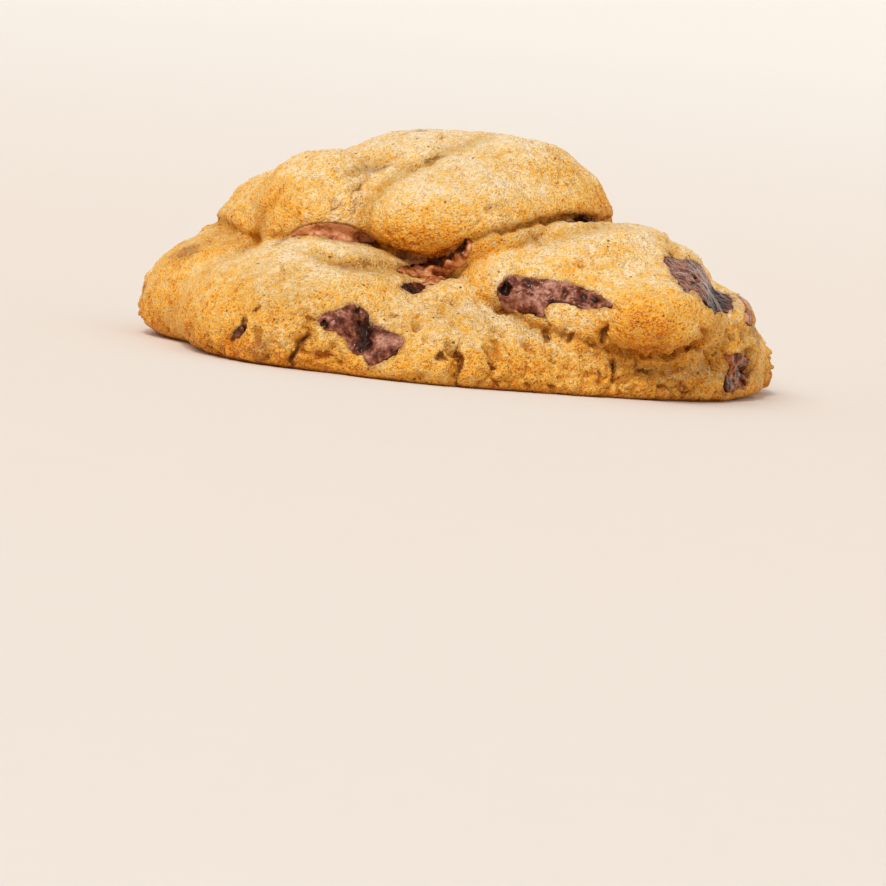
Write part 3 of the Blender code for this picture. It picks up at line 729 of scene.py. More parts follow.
@dataclass
class Lattice:
    """Distances at the corners of a fine lattice, worked out only near the surface."""

    low: np.ndarray
    step: float
    values: np.ndarray

    @classmethod
    def around(
        cls, distance: Callable, low: tuple, high: tuple, step: float, band: float = FAR, block: int = 4
    ) -> "Lattice":
        """Work out a lattice.

        Args:
            distance: Gives the distance of points from a surface.
            low: Lowest corner, in millimetres.
            high: Highest corner, in millimetres.
            step: Distance between neighbours, in millimetres.
            band: Blocks further than this from the surface only keep their sign.
            block: Neighbours along one side of a block.

        Returns:
            The lattice.
        """
        low = np.array(low, np.float32)
        count = np.ceil((np.array(high) - low) / (step * block)).astype(int)
        middles = [low[i] + (np.arange(count[i]) * block + (block - 1) / 2) * step for i in range(3)]
        rough = distance(np.stack(np.meshgrid(*middles, indexing="ij"), -1).astype(np.float32))
        values = np.where(rough < 0, -band, band).astype(np.float32)
        for axis in range(3):
            values = np.repeat(values, block, axis=axis)
        offsets = np.stack(np.meshgrid(*[np.arange(block)] * 3, indexing="ij"), -1).reshape(-1, 3)
        cells = (np.argwhere(np.abs(rough) < band)[:, None] * block + offsets).reshape(-1, 3)
        near = distance((low + cells * step).astype(np.float32))
        values[cells[:, 0], cells[:, 1], cells[:, 2]] = near
        return cls(low, step, values)

    def sample(self, points: np.ndarray) -> np.ndarray:
        """Return the distances at points between the lattice's corners."""
        place = np.clip((points - self.low) / self.step, 0, np.array(self.values.shape) - 1.001)
        cell = place.astype(np.int64)
        inside = (place - cell).astype(np.float32)
        total = np.zeros(points.shape[:-1], np.float32)
        for corner in itertools.product((0, 1), repeat=3):
            weight = np.where(np.array(corner, bool), inside, 1 - inside).prod(-1)
            x, y, z = np.moveaxis(cell + corner, -1, 0)
            total += weight * self.values[x, y, z]
        return total

    def slope(self, points: np.ndarray, reach: float = 0.9) -> np.ndarray:
        """Return the directions that the surface faces near points."""
        steps = reach * np.eye(3, dtype=np.float32)
        rises = [self.sample(points + step) - self.sample(points - step) for step in steps]
        towards = np.stack(rises, -1)
        return towards / (np.linalg.norm(towards, axis=-1, keepdims=True) + TINY)

    def skin(self) -> tuple:
        """Return the points and quads of the surface."""
        grid = openvdb.FloatGrid(FAR)
        grid.copyFromArray(self.values)
        corners, quads = grid.convertToQuads(0.0)
        return largest_piece(corners * self.step + self.low, quads.astype(np.int64))


def mesh_from(name: str, points: np.ndarray, faces: np.ndarray) -> bpy.types.Mesh:
    """Return a smooth-shaded mesh of points and faces."""
    mesh = bpy.data.meshes.new(name)
    mesh.from_pydata(points.tolist(), [], faces.tolist())
    mesh.update()
    mesh.shade_smooth()
    return mesh


def rows_of(items: bpy.types.bpy_prop_collection, name: str) -> np.ndarray:
    """Return a vector that each of a mesh's items has, as rows."""
    flat = np.empty(len(items) * 3, np.float32)
    items.foreach_get(name, flat)
    return flat.reshape(-1, 3)


def place_vertices(mesh: bpy.types.Mesh, points: np.ndarray) -> None:
    """Move the mesh's vertices to the rows of an array."""
    mesh.vertices.foreach_set("co", points.astype(np.float32).ravel())
    mesh.update()


def store(mesh: bpy.types.Mesh, name: str, values: np.ndarray) -> None:
    """Keep one number a vertex on the mesh, for its material to read."""
    layer = mesh.attributes.new(name, "FLOAT", "POINT")
    layer.data.foreach_set("value", np.ascontiguousarray(values, np.float32))


def add_piece(name: str, mesh: bpy.types.Mesh, material: bpy.types.Material) -> bpy.types.Object:
    """Add a finished piece of the cookie to the scene.

    Args:
        name: The piece's name.
        mesh: Its mesh, in metres and in place.
        material: Its material.

    Returns:
        The object.
    """
    mesh.name = name
    mesh.materials.clear()
    mesh.materials.append(material)
    piece = bpy.data.objects.new(name, mesh)
    bpy.context.scene.collection.objects.link(piece)
    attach(piece, BODY)
    return piece


class Value:
    """What comes out of a node, so that maths in a node tree reads as plain sums."""

    def __init__(self, graph: "Graph", socket: bpy.types.NodeSocket) -> None:
        """Hold a node's output socket."""
        self.graph = graph
        self.socket = socket

    def other(self, output: str) -> "Value":
        """Return another output of the same node."""
        return Value(self.graph, self.socket.node.outputs[output])

    def _maths(self, operation: str, first: object, second: object) -> "Value":
        """Return the result of a Math node."""
        return self.graph.node("ShaderNodeMath", {"operation": operation}, {0: first, 1: second})

    def __add__(self, other: object) -> "Value":
        """Return the sum."""
        return self._maths("ADD", self, other)

    def __radd__(self, other: object) -> "Value":
        """Return the sum."""
        return self._maths("ADD", other, self)

    def __sub__(self, other: object) -> "Value":
        """Return the difference."""
        return self._maths("SUBTRACT", self, other)

    def __rsub__(self, other: object) -> "Value":
        """Return the difference."""
        return self._maths("SUBTRACT", other, self)

    def __mul__(self, other: object) -> "Value":
        """Return the product."""
        return self._maths("MULTIPLY", self, other)

    def __rmul__(self, other: object) -> "Value":
        """Return the product."""
        return self._maths("MULTIPLY", other, self)

    def ramp(self, start: float, end: float) -> "Value":
        """Return 0 before start, 1 after end and a soft slope between, also when end is the lower."""
        return self.graph.node(
            "ShaderNodeMapRange",
            {"interpolation_type": "SMOOTHSTEP"},
            {"Value": self, "From Min": start, "From Max": end, "To Min": 0.0, "To Max": 1.0},
        )


class Graph:
    """A node tree being put together."""

    def __init__(self, tree: bpy.types.NodeTree) -> None:
        """Start on a tree."""
        self.tree = tree

    def node(
        self, kind: str, settings: dict | None = None, values: dict | None = None, output: int | str = 0
    ) -> Value:
        """Add a node.

        Args:
            kind: The node's type.
            settings: Its settings, set first; "stops" holds a ramp's (position, colour) pairs.
            values: What goes into its sockets, by name or number.
            output: The output to return.

        Returns:
            That output.
        """
        made = self.tree.nodes.new(kind)
        for name, setting in (settings or {}).items():
            if name == "stops":
                self._fill_ramp(made.color_ramp, setting)
            else:
                setattr(made, name, setting)
        self.feed(made, values or {})
        return Value(self, made.outputs[output])

    def feed(self, node: bpy.types.Node, values: dict) -> None:
        """Link or set the sockets of a node."""
        for name, value in values.items():
            if isinstance(value, Value):
                self.tree.links.new(value.socket, node.inputs[name])
            else:
                node.inputs[name].default_value = value

    @staticmethod
    def _fill_ramp(ramp: bpy.types.ColorRamp, stops: tuple) -> None:
        """Give a ramp its stops."""
        while len(ramp.elements) < len(stops):
            ramp.elements.new(0.5)
        for element, (position, colour) in zip(ramp.elements, stops):
            element.position = position
            element.color = (*colour, 1.0)


class Shader(Graph):
    """A material being put together round one Principled shader."""

    def __init__(self, name: str) -> None:
        """Start a material of this name."""
        self.material = bpy.data.materials.new(name)
        self.material.use_nodes = True
        super().__init__(self.material.node_tree)
        self.surface = self.tree.nodes["Principled BSDF"]
        self.place = self.node("ShaderNodeTexCoord", output="Object")

    def set(self, values: dict) -> None:
        """Set or link sockets of the Principled shader."""
        self.feed(self.surface, values)

    def noise(self, size: float, detail: float = 2.0, stretch: float = 0.0) -> Value:
        """Return noise whose spots are about `size` millimetres across."""
        return self.node(
            "ShaderNodeTexNoise",
            None,
            {"Vector": self.place, "Scale": 1.0 / (size * MM), "Detail": detail, "Distortion": stretch},
        )

    def cells(self, size: float, output: str = "Distance") -> Value:
        """Return a pattern of cells about `size` millimetres across."""
        return self.node(
            "ShaderNodeTexVoronoi", None, {"Vector": self.place, "Scale": 1.0 / (size * MM)}, output
        )

    def kept(self, name: str) -> Value:
        """Return the numbers kept on the mesh under a name."""
        return self.node("ShaderNodeAttribute", {"attribute_name": name}, None, "Fac")

    def colours(self, share: Value, stops: tuple) -> Value:
        """Return a colour along a ramp of (position, linear colour) stops."""
        return self.node("ShaderNodeValToRGB", {"stops": stops}, {"Fac": share})

    def mix(self, share: object, first: object, second: object, blend: str = "MIX") -> Value:
        """Return a mix of two colours."""
        return self.node(
            "ShaderNodeMix", {"data_type": "RGBA", "blend_type": blend}, {0: share, 6: first, 7: second}, 2
        )

    def bump(self, height: Value, depth: float) -> Value:
        """Return a normal roughened by a height, of this depth in millimetres."""
        return self.node("ShaderNodeBump", None, {"Strength": 1.0, "Distance": depth * MM, "Height": height})


@dataclass(frozen=True)
class BakedDough:
    """The crust: pale gold where thick dough stayed soft, orange brown where it baked browner, sandy all
    over; paler where it faces up and darker where it faces down as painted light and shade, with painted
    shade in creases, pits and low grains.
    """

    pale: tuple = (0.98, 0.80, 0.60)
    cream: tuple = (0.95, 0.600, 0.185)
    gold: tuple = (0.94, 0.490, 0.066)
    amber: tuple = (0.89, 0.335, 0.018)
    brown: tuple = (0.60, 0.165, 0.008)
    # Pale sugar grains, partly a painted glitter of light
    sugar_and_glitter: tuple = (0.98, 0.88, 0.68)
    # Painted shade for the low grains, with grain tone
    gap: tuple = (0.74, 0.48, 0.15)
    grain_half_shade: tuple = (0.96, 0.90, 0.70)
    plain: tuple = (1.0, 1.0, 1.0)
    # Painted shade in folds, between lobes and under the crown
    shelter_shade: tuple = (0.74, 0.62, 0.32)
    # Painted shade for pits and cracks
    pit_shade: tuple = (0.68, 0.50, 0.22)
    stain: tuple = (0.30, 0.125, 0.062)
    # Painted shade in cracks and sharp creases
    cleft_shade: tuple = (0.14, 0.045, 0.010)
    speck: tuple = (0.20, 0.045, 0.008)
    roughness: float = 0.55
    soft: float = 0.10

    def material(self) -> bpy.types.Material:
        """Return the finish as a material."""
        shader = Shader("baked_dough")
        blotches = shader.noise(4.5, 2.0)
        mottle = shader.noise(1.4, 3.0, 0.3)
        sand = shader.noise(0.50, 2.0)
        fine = shader.noise(0.32, 1.0)
        grains = shader.cells(0.45)
        tone = (
            shader.kept("browning_and_painted_light")
            + (blotches - 0.5) * 0.70
            + (mottle - 0.5) * 1.00
            + (sand - 0.5) * 1.70
            + (fine - 0.5) * 1.80
        )
        crust = shader.colours(
            tone,
            ((0.0, self.pale), (0.27, self.cream), (0.52, self.gold), (0.80, self.amber), (1.15, self.brown)),
        )
        # Partly grain tone and partly painted shade: the low grains, which the bump also sets lower, are
        # darkened
        grit = sand * 0.5 + fine * 0.5
        shade = shader.colours(grit, ((0.37, self.gap), (0.45, self.grain_half_shade), (0.52, self.plain)))
        crust = shader.mix(1.0, crust, shade, "MULTIPLY")
        # Painted shade in pits, cracks and low places of the relief
        pit_shade_share = (shader.kept("relief") + (sand - 0.5) * 0.6).ramp(-0.25, -0.95)
        crust = shader.mix(pit_shade_share, crust, (*self.pit_shade, 1.0), "MULTIPLY")
        # Pale sugar grains, partly real and partly painted glitter of light
        sugar_and_glitter = grains.ramp(0.34, 0.05) * mottle.ramp(0.35, 0.65)
        crust = shader.mix(sugar_and_glitter * 0.70, crust, (*self.sugar_and_glitter, 1.0))
        # Painted shade: a duller, yellower tint in folds, between lobes and under the crown
        shelter_shade_share = (shader.kept("painted_shade") + (mottle - 0.5) * 0.4).ramp(0.05, 1.0)
        crust = shader.mix(shelter_shade_share * 0.85, crust, (*self.shelter_shade, 1.0), "MULTIPLY")
        stained = (shader.kept("stain") + (mottle - 0.5) * 0.6 + (sand - 0.5) * 0.5).ramp(0.10, 0.95)
        crust = shader.mix(stained * 0.85, crust, (*self.stain, 1.0))
        # Painted shade in cracks and sharp creases
        cleft_shade = (shader.kept("cleft_shade") + (sand - 0.5) * 0.5).ramp(0.35, 1.0)
        crust = shader.mix(cleft_shade * 0.85, crust, (*self.cleft_shade, 1.0))
        chance = shader.node(
            "ShaderNodeSeparateColor", None, {"Color": shader.cells(1.7, "Color")}, "Red"
        ).ramp(0.76, 0.82)
        speck = shader.cells(1.7).ramp(0.15, 0.08) * chance
        crust = shader.mix(speck * 0.85, crust, (*self.speck, 1.0))
        relief = sand * 0.9 + fine * 0.55 + mottle * 0.30 + grains.ramp(0.5, 0.1) * 0.30 - speck * 0.3
        shader.set({
            "Base Color": crust,
            "Roughness": (sand - 0.5) * 0.40 + self.roughness,
            "Normal": shader.bump(relief, 0.48),
            "Specular IOR Level": 0.20,
            "Coat Weight": sugar_and_glitter * 0.25,
            "Coat Roughness": 0.18,
            "Subsurface Weight": self.soft,
            "Subsurface Radius": (0.0012, 0.0006, 0.0002),
            "Subsurface Scale": 1.0,
        })
        return shader.material


@dataclass(frozen=True)
class MilkChocolate:
    """Chocolate that melted in the oven and set again: dark and glossy, with a dull mauve bloom in places and
    painted shade in its dents.
    """

    # Darkest chocolate, which dents are also darkened toward as painted shade
    deep: tuple = (0.010, 0.0015, 0.001)
    body: tuple = (0.075, 0.013, 0.008)
    bloom: tuple = (0.215, 0.066, 0.046)
    chalk: tuple = (0.44, 0.215, 0.165)
    warm_deep: tuple = (0.065, 0.014, 0.003)
    warm_body: tuple = (0.40, 0.098, 0.014)
    warm_light: tuple = (0.84, 0.39, 0.17)
    sheen: tuple = (1.0, 0.72, 0.64)
    roughness: float = 0.16

    def material(self) -> bpy.types.Material:
        """Return the finish as a material."""
        shader = Shader("milk_chocolate")
        clouds = shader.noise(2.0, 2.0, 0.5)
        grain = shader.noise(0.50, 3.0)
        facets = shader.noise(0.75, 0.0)
        # Dents are darkened toward the deep colour, as painted shade
        bloom = (
            shader.kept("bloom")
            + (clouds - 0.5) * 2.0
            + (grain - 0.5) * 1.1
            - shader.kept("painted_shade") * 0.85
        )
        cool = shader.colours(
            bloom, ((0.10, self.deep), (0.35, self.body), (0.64, self.bloom), (1.0, self.chalk))
        )
        warm = shader.colours(
            bloom, ((0.0, self.warm_deep), (0.42, self.warm_body), (1.0, self.warm_light))
        )
        relief = clouds * 1.3 + facets * 1.2
        shader.set({
            "Base Color": shader.mix(shader.kept("warmth"), cool, warm),
            "Roughness": bloom.ramp(0.3, 0.9) * 0.20 + shader.kept("painted_shade") * 0.22 + self.roughness,
            "Normal": shader.bump(relief, 0.30),
            "Specular IOR Level": 0.40,
            "Specular Tint": (*self.sheen, 1.0),
        })
        return shader.material


@dataclass(frozen=True)
class StudioPaper:
    """The seamless pale paper under and behind the cookie, its colour darker near the middle and lighter far
    off as painted light.
    """

    near: tuple = (0.790, 0.714, 0.650)
    far: tuple = (0.842, 0.802, 0.754)

    def material(self) -> bpy.types.Material:
        """Return the finish as a material."""
        shader = Shader("studio_paper")
        away = shader.node("ShaderNodeVectorMath", {"operation": "LENGTH"}, {0: shader.place}, "Value")
        fibre = shader.noise(14.0, 2.0) - 0.5
        # Painted light: the paper is darker near the middle and lighter far off
        tint = shader.mix(away.ramp(0.05, 1.6) + fibre * 0.1, (*self.near, 1.0), (*self.far, 1.0))
        shader.set({"Base Color": tint, "Roughness": 0.9, "Specular IOR Level": 0.1})
        return shader.material


@dataclass
class Dough:
    """The baked dough: lobes pressed together, with the cracks, crumb and pits of the crust."""

    step: float = 0.36
    band: float = 2.7
    most_triangles: int = 192000
    crumb_height: float = 0.38
    plate_height: float = 0.24
    crackle_depth: float = 0.65
    grain_height: float = 0.16
    pit_depth: float = 1.0
    crease_depth: float = 1.1
    crease_width: float = 0.33
    puff_height: float = 0.22
    bed_depth: float = 1.7
    margin: float = 5.0
    plain_below: float = 1.2
    flat_below: float = 0.12

    def __post_init__(self) -> None:
        """Work out the lattice, and the fit that brings the form to the cookie's real size."""
        low = (-WIDTH / 2 - self.margin, -DEPTH / 2 - self.margin, -2)
        high = (WIDTH / 2 + self.margin, DEPTH / 2 + self.margin, HEIGHT + self.margin)
        self.lattice = Lattice.around(dough_distance, low, high, self.step, self.band)
        self.points, self.quads = self.lattice.skin()
        least, most = self.points.min(axis=0), self.points.max(axis=0)
        self.scale = np.array((WIDTH, DEPTH, HEIGHT)) / (most - least)
        self.origin = np.array(((least[0] + most[0]) / 2, (least[1] + most[1]) / 2, least[2]))

    def placed(self, points: np.ndarray) -> np.ndarray:
        """Return form millimetres as metres in the cookie's frame."""
        return (points - self.origin) * self.scale * MM

    def build(self, finish: BakedDough) -> bpy.types.Object:
        """Build the dough.

        Args:
            finish: Its finish.

        Returns:
            The piece.
        """
        mesh = mesh_from("dough", self.points, self.quads)
        relief = self._relief(self.points)
        outward = rows_of(mesh.vertex_normals, "vector") * relief[:, None]
        moved = self.points + outward * rise(self.points[:, 2], 0.0, self.plain_below)[:, None]
        moved[moved[:, 2] < self.origin[2] + self.flat_below, 2] = self.origin[2]
        place_vertices(mesh, self.placed(moved))
        store(mesh, "relief", relief)
        mesh = self._thinned(mesh)
        points = rows_of(mesh.vertices, "co") / MM / self.scale + self.origin
        upward = self.lattice.slope(points)[:, 2]
        store(mesh, "browning_and_painted_light", self._browning_and_painted_light(points, upward))
        store(mesh, "painted_shade", self._sheltered_shade(points))
        store(mesh, "cleft_shade", self._cleft_shade(points))
        store(mesh, "stain", self._stain(points))
        loose = rise(points[:, 2], self.origin[2] + 1.0, self.origin[2] + 2.4)
        store(mesh, "crumbly", self._crumbly(points) * (1 - self._beds(points)) * loose)
        piece = add_piece("baked_dough", mesh, finish.material())
        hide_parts("dough")
        return piece

    def _thinned(self, mesh: bpy.types.Mesh) -> bpy.types.Mesh:
        """Return the mesh with fewer triangles where it is nearly flat."""
        helper = bpy.data.objects.new("helper", mesh)
        bpy.context.scene.collection.objects.link(helper)
        thin = helper.modifiers.new("thin", "DECIMATE")
        thin.ratio = min(1.0, self.most_triangles / (2 * len(mesh.polygons)))
        thin.use_collapse_triangulate = True
        graph = bpy.context.evaluated_depsgraph_get()
        thinned = bpy.data.meshes.new_from_object(helper.evaluated_get(graph))
        bpy.data.objects.remove(helper)
        bpy.data.meshes.remove(mesh)
        thinned.shade_smooth()
        return thinned

    def _crumbly(self, points: np.ndarray) -> np.ndarray:
        """Return how crumbly the crust is: most near the rim, least on the domes."""
        amount = 0.28 + 0.58 * rise(points[:, 2], 13.5, 6.0) + 0.30 * noise(points, 7.0, 11)
        for patch in SMOOTHER:
            amount = amount - patch.weight(points)
        return np.clip(amount, 0.12, 1.0)

    def _near(self, chunk: Chunk, points: np.ndarray) -> np.ndarray:
        """Return 1 close to a chunk and 0 on other parts of the cookie behind or before it."""
        away = np.linalg.norm(points - self.anchor(chunk), axis=-1)
        return rise(away, chunk.reach() + 2.0, chunk.reach())

    def _beds(self, points: np.ndarray) -> np.ndarray:
        """Return where chocolate lies in the dough, from 0 to 1."""
        share = np.zeros(len(points), np.float32)
        for chunk in (*CHUNKS.values(), *BITS.values()):
            share = np.maximum(share, rise(chunk.edge(points), 0.05, -0.45) * self._near(chunk, points))
        return share

    def anchor(self, chunk: Chunk) -> np.ndarray:
        """Return the point of the dough's surface in the middle of a chunk."""
        toward = np.arange(*SIGHT_LINE)
        middle = chunk.middle()
        line = chunk.side.place(np.full_like(toward, middle[0]), np.full_like(toward, middle[1]), toward)
        return line[int(np.argmax(self.lattice.sample(line) < 0))]

    @staticmethod
    def _wobble(points: np.ndarray) -> np.ndarray:
        """Return small shifts that make drawn lines wander."""
        return LINE_WANDER * drift(points, 1.2, 61)

    def _relief(self, points: np.ndarray) -> np.ndarray:
        """Return how far the crust stands out, in millimetres, over the plain form."""
        shift = points + self._wobble(points)
        crumbly = self._crumbly(points)
        height = self.crumb_height * crumbly * (2.0 * np.abs(noise(shift, 1.9, 64)) - 0.5)
        height += self.grain_height * (0.5 + crumbly) * noise(points, 0.85, 65)
        broken = crumbly * rise(noise(points, 4.5, 67), -0.35, 0.25)
        for size, share in ((2.6, 1.0), (1.3, 0.35)):
            gap, level = plates(shift, size, 68)
            height -= share * self.crackle_depth * broken * rise(gap, 0.28, 0.0)
            height += share * self.plate_height * broken * level
        height -= self.pit_depth * crumbly * rise(noise(shift, 1.7, 66), 0.45, 0.75)
        height *= 1 - 0.85 * seam_closeness(points, 1.0)
        for fold in FOLDS.values():
            away, depth = fold.trace(shift, 4.5)
            strength = np.minimum(depth, 1.2) * fold.sharp
            height -= self.crease_depth * strength * np.exp(-((away / self.crease_width) ** 2))
            height += self.puff_height * strength * np.exp(-(((away - 1.9) / 1.0) ** 2))
        for crack in CRACKS:
            height -= crack.depth(shift)
        return height - self.bed_depth * self._beds(points)

    @staticmethod
    def _browning_and_painted_light(points: np.ndarray, upward: np.ndarray) -> np.ndarray:
        """Return how brown the crust is, from 0 to 1, with painted light and shade: paler where it faces
        upward, darker where it faces downward.
        """
        height = points[:, 2]
        # Painted light and shade: paler where the crust faces up, browner where it faces down
        amount = 0.37 - 0.33 * np.clip(upward, 0, 1) ** 3 + 0.15 * np.clip(-upward, 0, 1)
        amount += 0.08 * noise(points, 15.0, 71) + 0.08 * noise(points, 6.0, 72)
        amount += 0.14 * rise(height, 9.0, 2.0) + 0.12 * rise(height, 0.9, 0.1)
        for patch in BROWNING_AND_PAINTED_LIGHT:
            amount = amount + patch.weight(points)
        away = 1 - Side.FRONT.facing(points)
        amount += away * 0.25 * rise(noise(points, 12.0, 73), 0.05, 0.6)
        return np.clip(amount, 0.0, 1.0)

    @staticmethod
    def _sheltered_shade(points: np.ndarray) -> np.ndarray:
        """Return how much painted shade points get, in a fold, between lobes or under the crown, from 0 to 1.
        """
        share = 0.35 * seam_closeness(points, 1.2)
        for fold in FOLDS.values():
            away, depth = fold.trace(points, 4.0)
            share = np.maximum(share, np.minimum(depth, 1.0) * np.exp(-((away / 1.2) ** 2)))
        for patch in CROWN_SHADE:
            share = np.maximum(share, patch.weight(points))
        return np.clip(share, 0, 1)

    def _cleft_shade(self, points: np.ndarray) -> np.ndarray:
        """Return how deep in a crack or a sharp crease points are, from 0 to 1, where shade is painted."""
        shift = points + self._wobble(points)
        share = np.zeros(len(points), np.float32)
        for fold in FOLDS.values():
            away, depth = fold.trace(shift, 2.0)
            line = np.exp(-((away / 0.36) ** 2))
            share = np.maximum(share, np.clip(fold.sharp * depth - 0.25, 0, 1) * line)
        for crack in CRACKS:
            share = np.maximum(share, np.clip(1.1 * crack.depth(shift, 1.05), 0, 1))
        return share

    def _stain(self, points: np.ndarray) -> np.ndarray:
        """Return how much melted chocolate has stained the dough, from 0 to 1."""
        amount = np.zeros(len(points), np.float32)
        for patch in STAINS:
            amount = np.maximum(amount, patch.weight(points))
        for chunk in (*CHUNKS.values(), *BITS.values()):
            amount = np.maximum(amount, 0.6 * rise(chunk.edge(points), 1.1, -0.2) * self._near(chunk, points))
        return np.clip(amount, 0, 1)


@dataclass
class Chocolate:
    """The chunks and bits of chocolate, each sunk in its bed in the dough."""

    dough: Dough
    step: float = 0.30
    sunk: float = 2.4
    edge: float = 0.30

    def build(self, name: str, chunk: Chunk, finish: bpy.types.Material) -> bpy.types.Object:
        """Build one piece of chocolate.

        Args:
            name: The piece's name.
            chunk: Where it lies and how it has set.
            finish: Its material.

        Returns:
            The piece.
        """
        anchor = self.dough.anchor(chunk)
        reach = chunk.reach() + 1.0
        step = self.step * 1.0
        lattice = Lattice.around(
            lambda points: self._distance(chunk, anchor, points), anchor - reach, anchor + reach, step
        )
        points, quads = lattice.skin()
        mesh = mesh_from(name, self.dough.placed(points), quads)
        store(mesh, "bloom", np.full(len(points), chunk.bloom, np.float32))
        store(mesh, "warmth", np.full(len(points), chunk.warmth, np.float32))
        store(mesh, "painted_shade", chunk.painted_shade(points))
        return add_piece(name, mesh, finish)

    def _distance(self, chunk: Chunk, anchor: np.ndarray, points: np.ndarray) -> np.ndarray:
        """Return the distance from a piece of chocolate, negative inside."""
        dough = self.dough.lattice.sample(points)
        top = dough - chunk.height(points)
        skin = smooth_max(top, -dough - self.sunk, self.edge)
        ball = np.linalg.norm(points - anchor, axis=-1) - chunk.reach()
        base = 0.25 - points[..., 2]
        solid = smooth_max(smooth_max(chunk.edge(points) - 0.15, skin, self.edge), ball, self.edge)
        return smooth_max(solid, base, self.edge)


@dataclass
class Crumbs:
    """Loose and half-baked-on crumbs, scattered over the crumbly parts of the crust."""

    density: float = 0.55
    smallest: float = 0.14
    largest: float = 0.36
    roughness: float = 0.55
    seed: int = 5

    def build(self, dough: bpy.types.Object) -> bpy.types.Object:
        """Scatter the crumbs on the dough.

        Args:
            dough: The dough, which carries the number "crumbly" at its vertices.

        Returns:
            The piece.
        """
        host = bpy.data.objects.new("crumb_host", dough.data.copy())
        bpy.context.scene.collection.objects.link(host)
        tree = self._tree(dough.data.materials[0])
        scatter = host.modifiers.new("crumbs", "NODES")
        scatter.node_group = tree
        named = {item.name: item.identifier for item in tree.interface.items_tree if item.in_out == "INPUT"}
        scatter[named["Density"]] = self.density / MM**2
        scatter[named["Smallest"]] = self.smallest * MM
        scatter[named["Largest"]] = self.largest * MM
        scatter[named["Seed"]] = self.seed
        graph = bpy.context.evaluated_depsgraph_get()
        mesh = bpy.data.meshes.new_from_object(host.evaluated_get(graph))
        host.modifiers.remove(scatter)
        bpy.data.objects.remove(host)
        return add_piece("crumbs", mesh, dough.data.materials[0])

    def _tree(self, material: bpy.types.Material) -> bpy.types.NodeTree:
        """Return the node tree that scatters and shapes the crumbs."""
        tree = bpy.data.node_groups.new("crumbs", "GeometryNodeTree")
        inputs = {"Density": "Float", "Smallest": "Float", "Largest": "Float", "Seed": "Int"}
        for name, kind in {"Geometry": "Geometry", **inputs}.items():
            tree.interface.new_socket(name, in_out="INPUT", socket_type=f"NodeSocket{kind}")
        tree.interface.new_socket("Geometry", in_out="OUTPUT", socket_type="NodeSocketGeometry")
        graph = Graph(tree)
        given = graph.node("NodeGroupInput")
        seed = given.other("Seed")
        crumbly = graph.node(
            "GeometryNodeInputNamedAttribute", {"data_type": "FLOAT"}, {"Name": "crumbly"}, "Attribute"
        )
        squared = graph.node("ShaderNodeMath", {"operation": "POWER"}, {0: crumbly, 1: 2.0})
        spread = graph.node(
            "GeometryNodeDistributePointsOnFaces",
            {"distribute_method": "RANDOM"},
            {"Mesh": given, "Density": squared * given.other("Density"), "Seed": seed},
        )
        crumb = graph.node("GeometryNodeMeshUVSphere", None, {"Segments": 7, "Rings": 5, "Radius": 1.0})
        size = graph.node(
            "FunctionNodeRandomValue",
            {"data_type": "FLOAT"},
            {2: given.other("Smallest"), 3: given.other("Largest"), "Seed": seed},
            1,
        )
        vector = {"data_type": "FLOAT_VECTOR"}
        turn = graph.node("FunctionNodeRandomValue", vector, {1: (math.tau, math.tau, math.tau), "Seed": 11})
        squash = graph.node(
            "FunctionNodeRandomValue", vector, {0: (0.75, 0.6, 0.45), 1: (1.25, 1.1, 0.8), "Seed": 12}
        )
        scale = graph.node("ShaderNodeVectorMath", {"operation": "SCALE"}, {0: squash, "Scale": size})
        placed = graph.node(
            "GeometryNodeInstanceOnPoints",
            None,
            {"Points": spread, "Instance": crumb, "Rotation": turn, "Scale": scale},
        )
        real = graph.node("GeometryNodeRealizeInstances", None, {"Geometry": placed})
        rough = graph.node(
            "ShaderNodeTexNoise",
            {"noise_dimensions": "3D"},
            {"Scale": 1.0 / (self.roughness * MM), "Detail": 1.0},
            "Color",
        )
        middle = (0.5, 0.5, 0.5)
        centred = graph.node("ShaderNodeVectorMath", {"operation": "SUBTRACT"}, {0: rough, 1: middle})
        push = graph.node(
            "ShaderNodeVectorMath", {"operation": "SCALE"}, {0: centred, "Scale": self.roughness * MM}
        )
        moved = graph.node("GeometryNodeSetPosition", None, {"Geometry": real, "Offset": push})
        smooth = graph.node("GeometryNodeSetShadeSmooth", None, {"Geometry": moved})
        dressed = graph.node("GeometryNodeSetMaterial", None, {"Geometry": smooth, "Material": material})
        graph.feed(tree.nodes.new("NodeGroupOutput"), {"Geometry": dressed})
        return tree


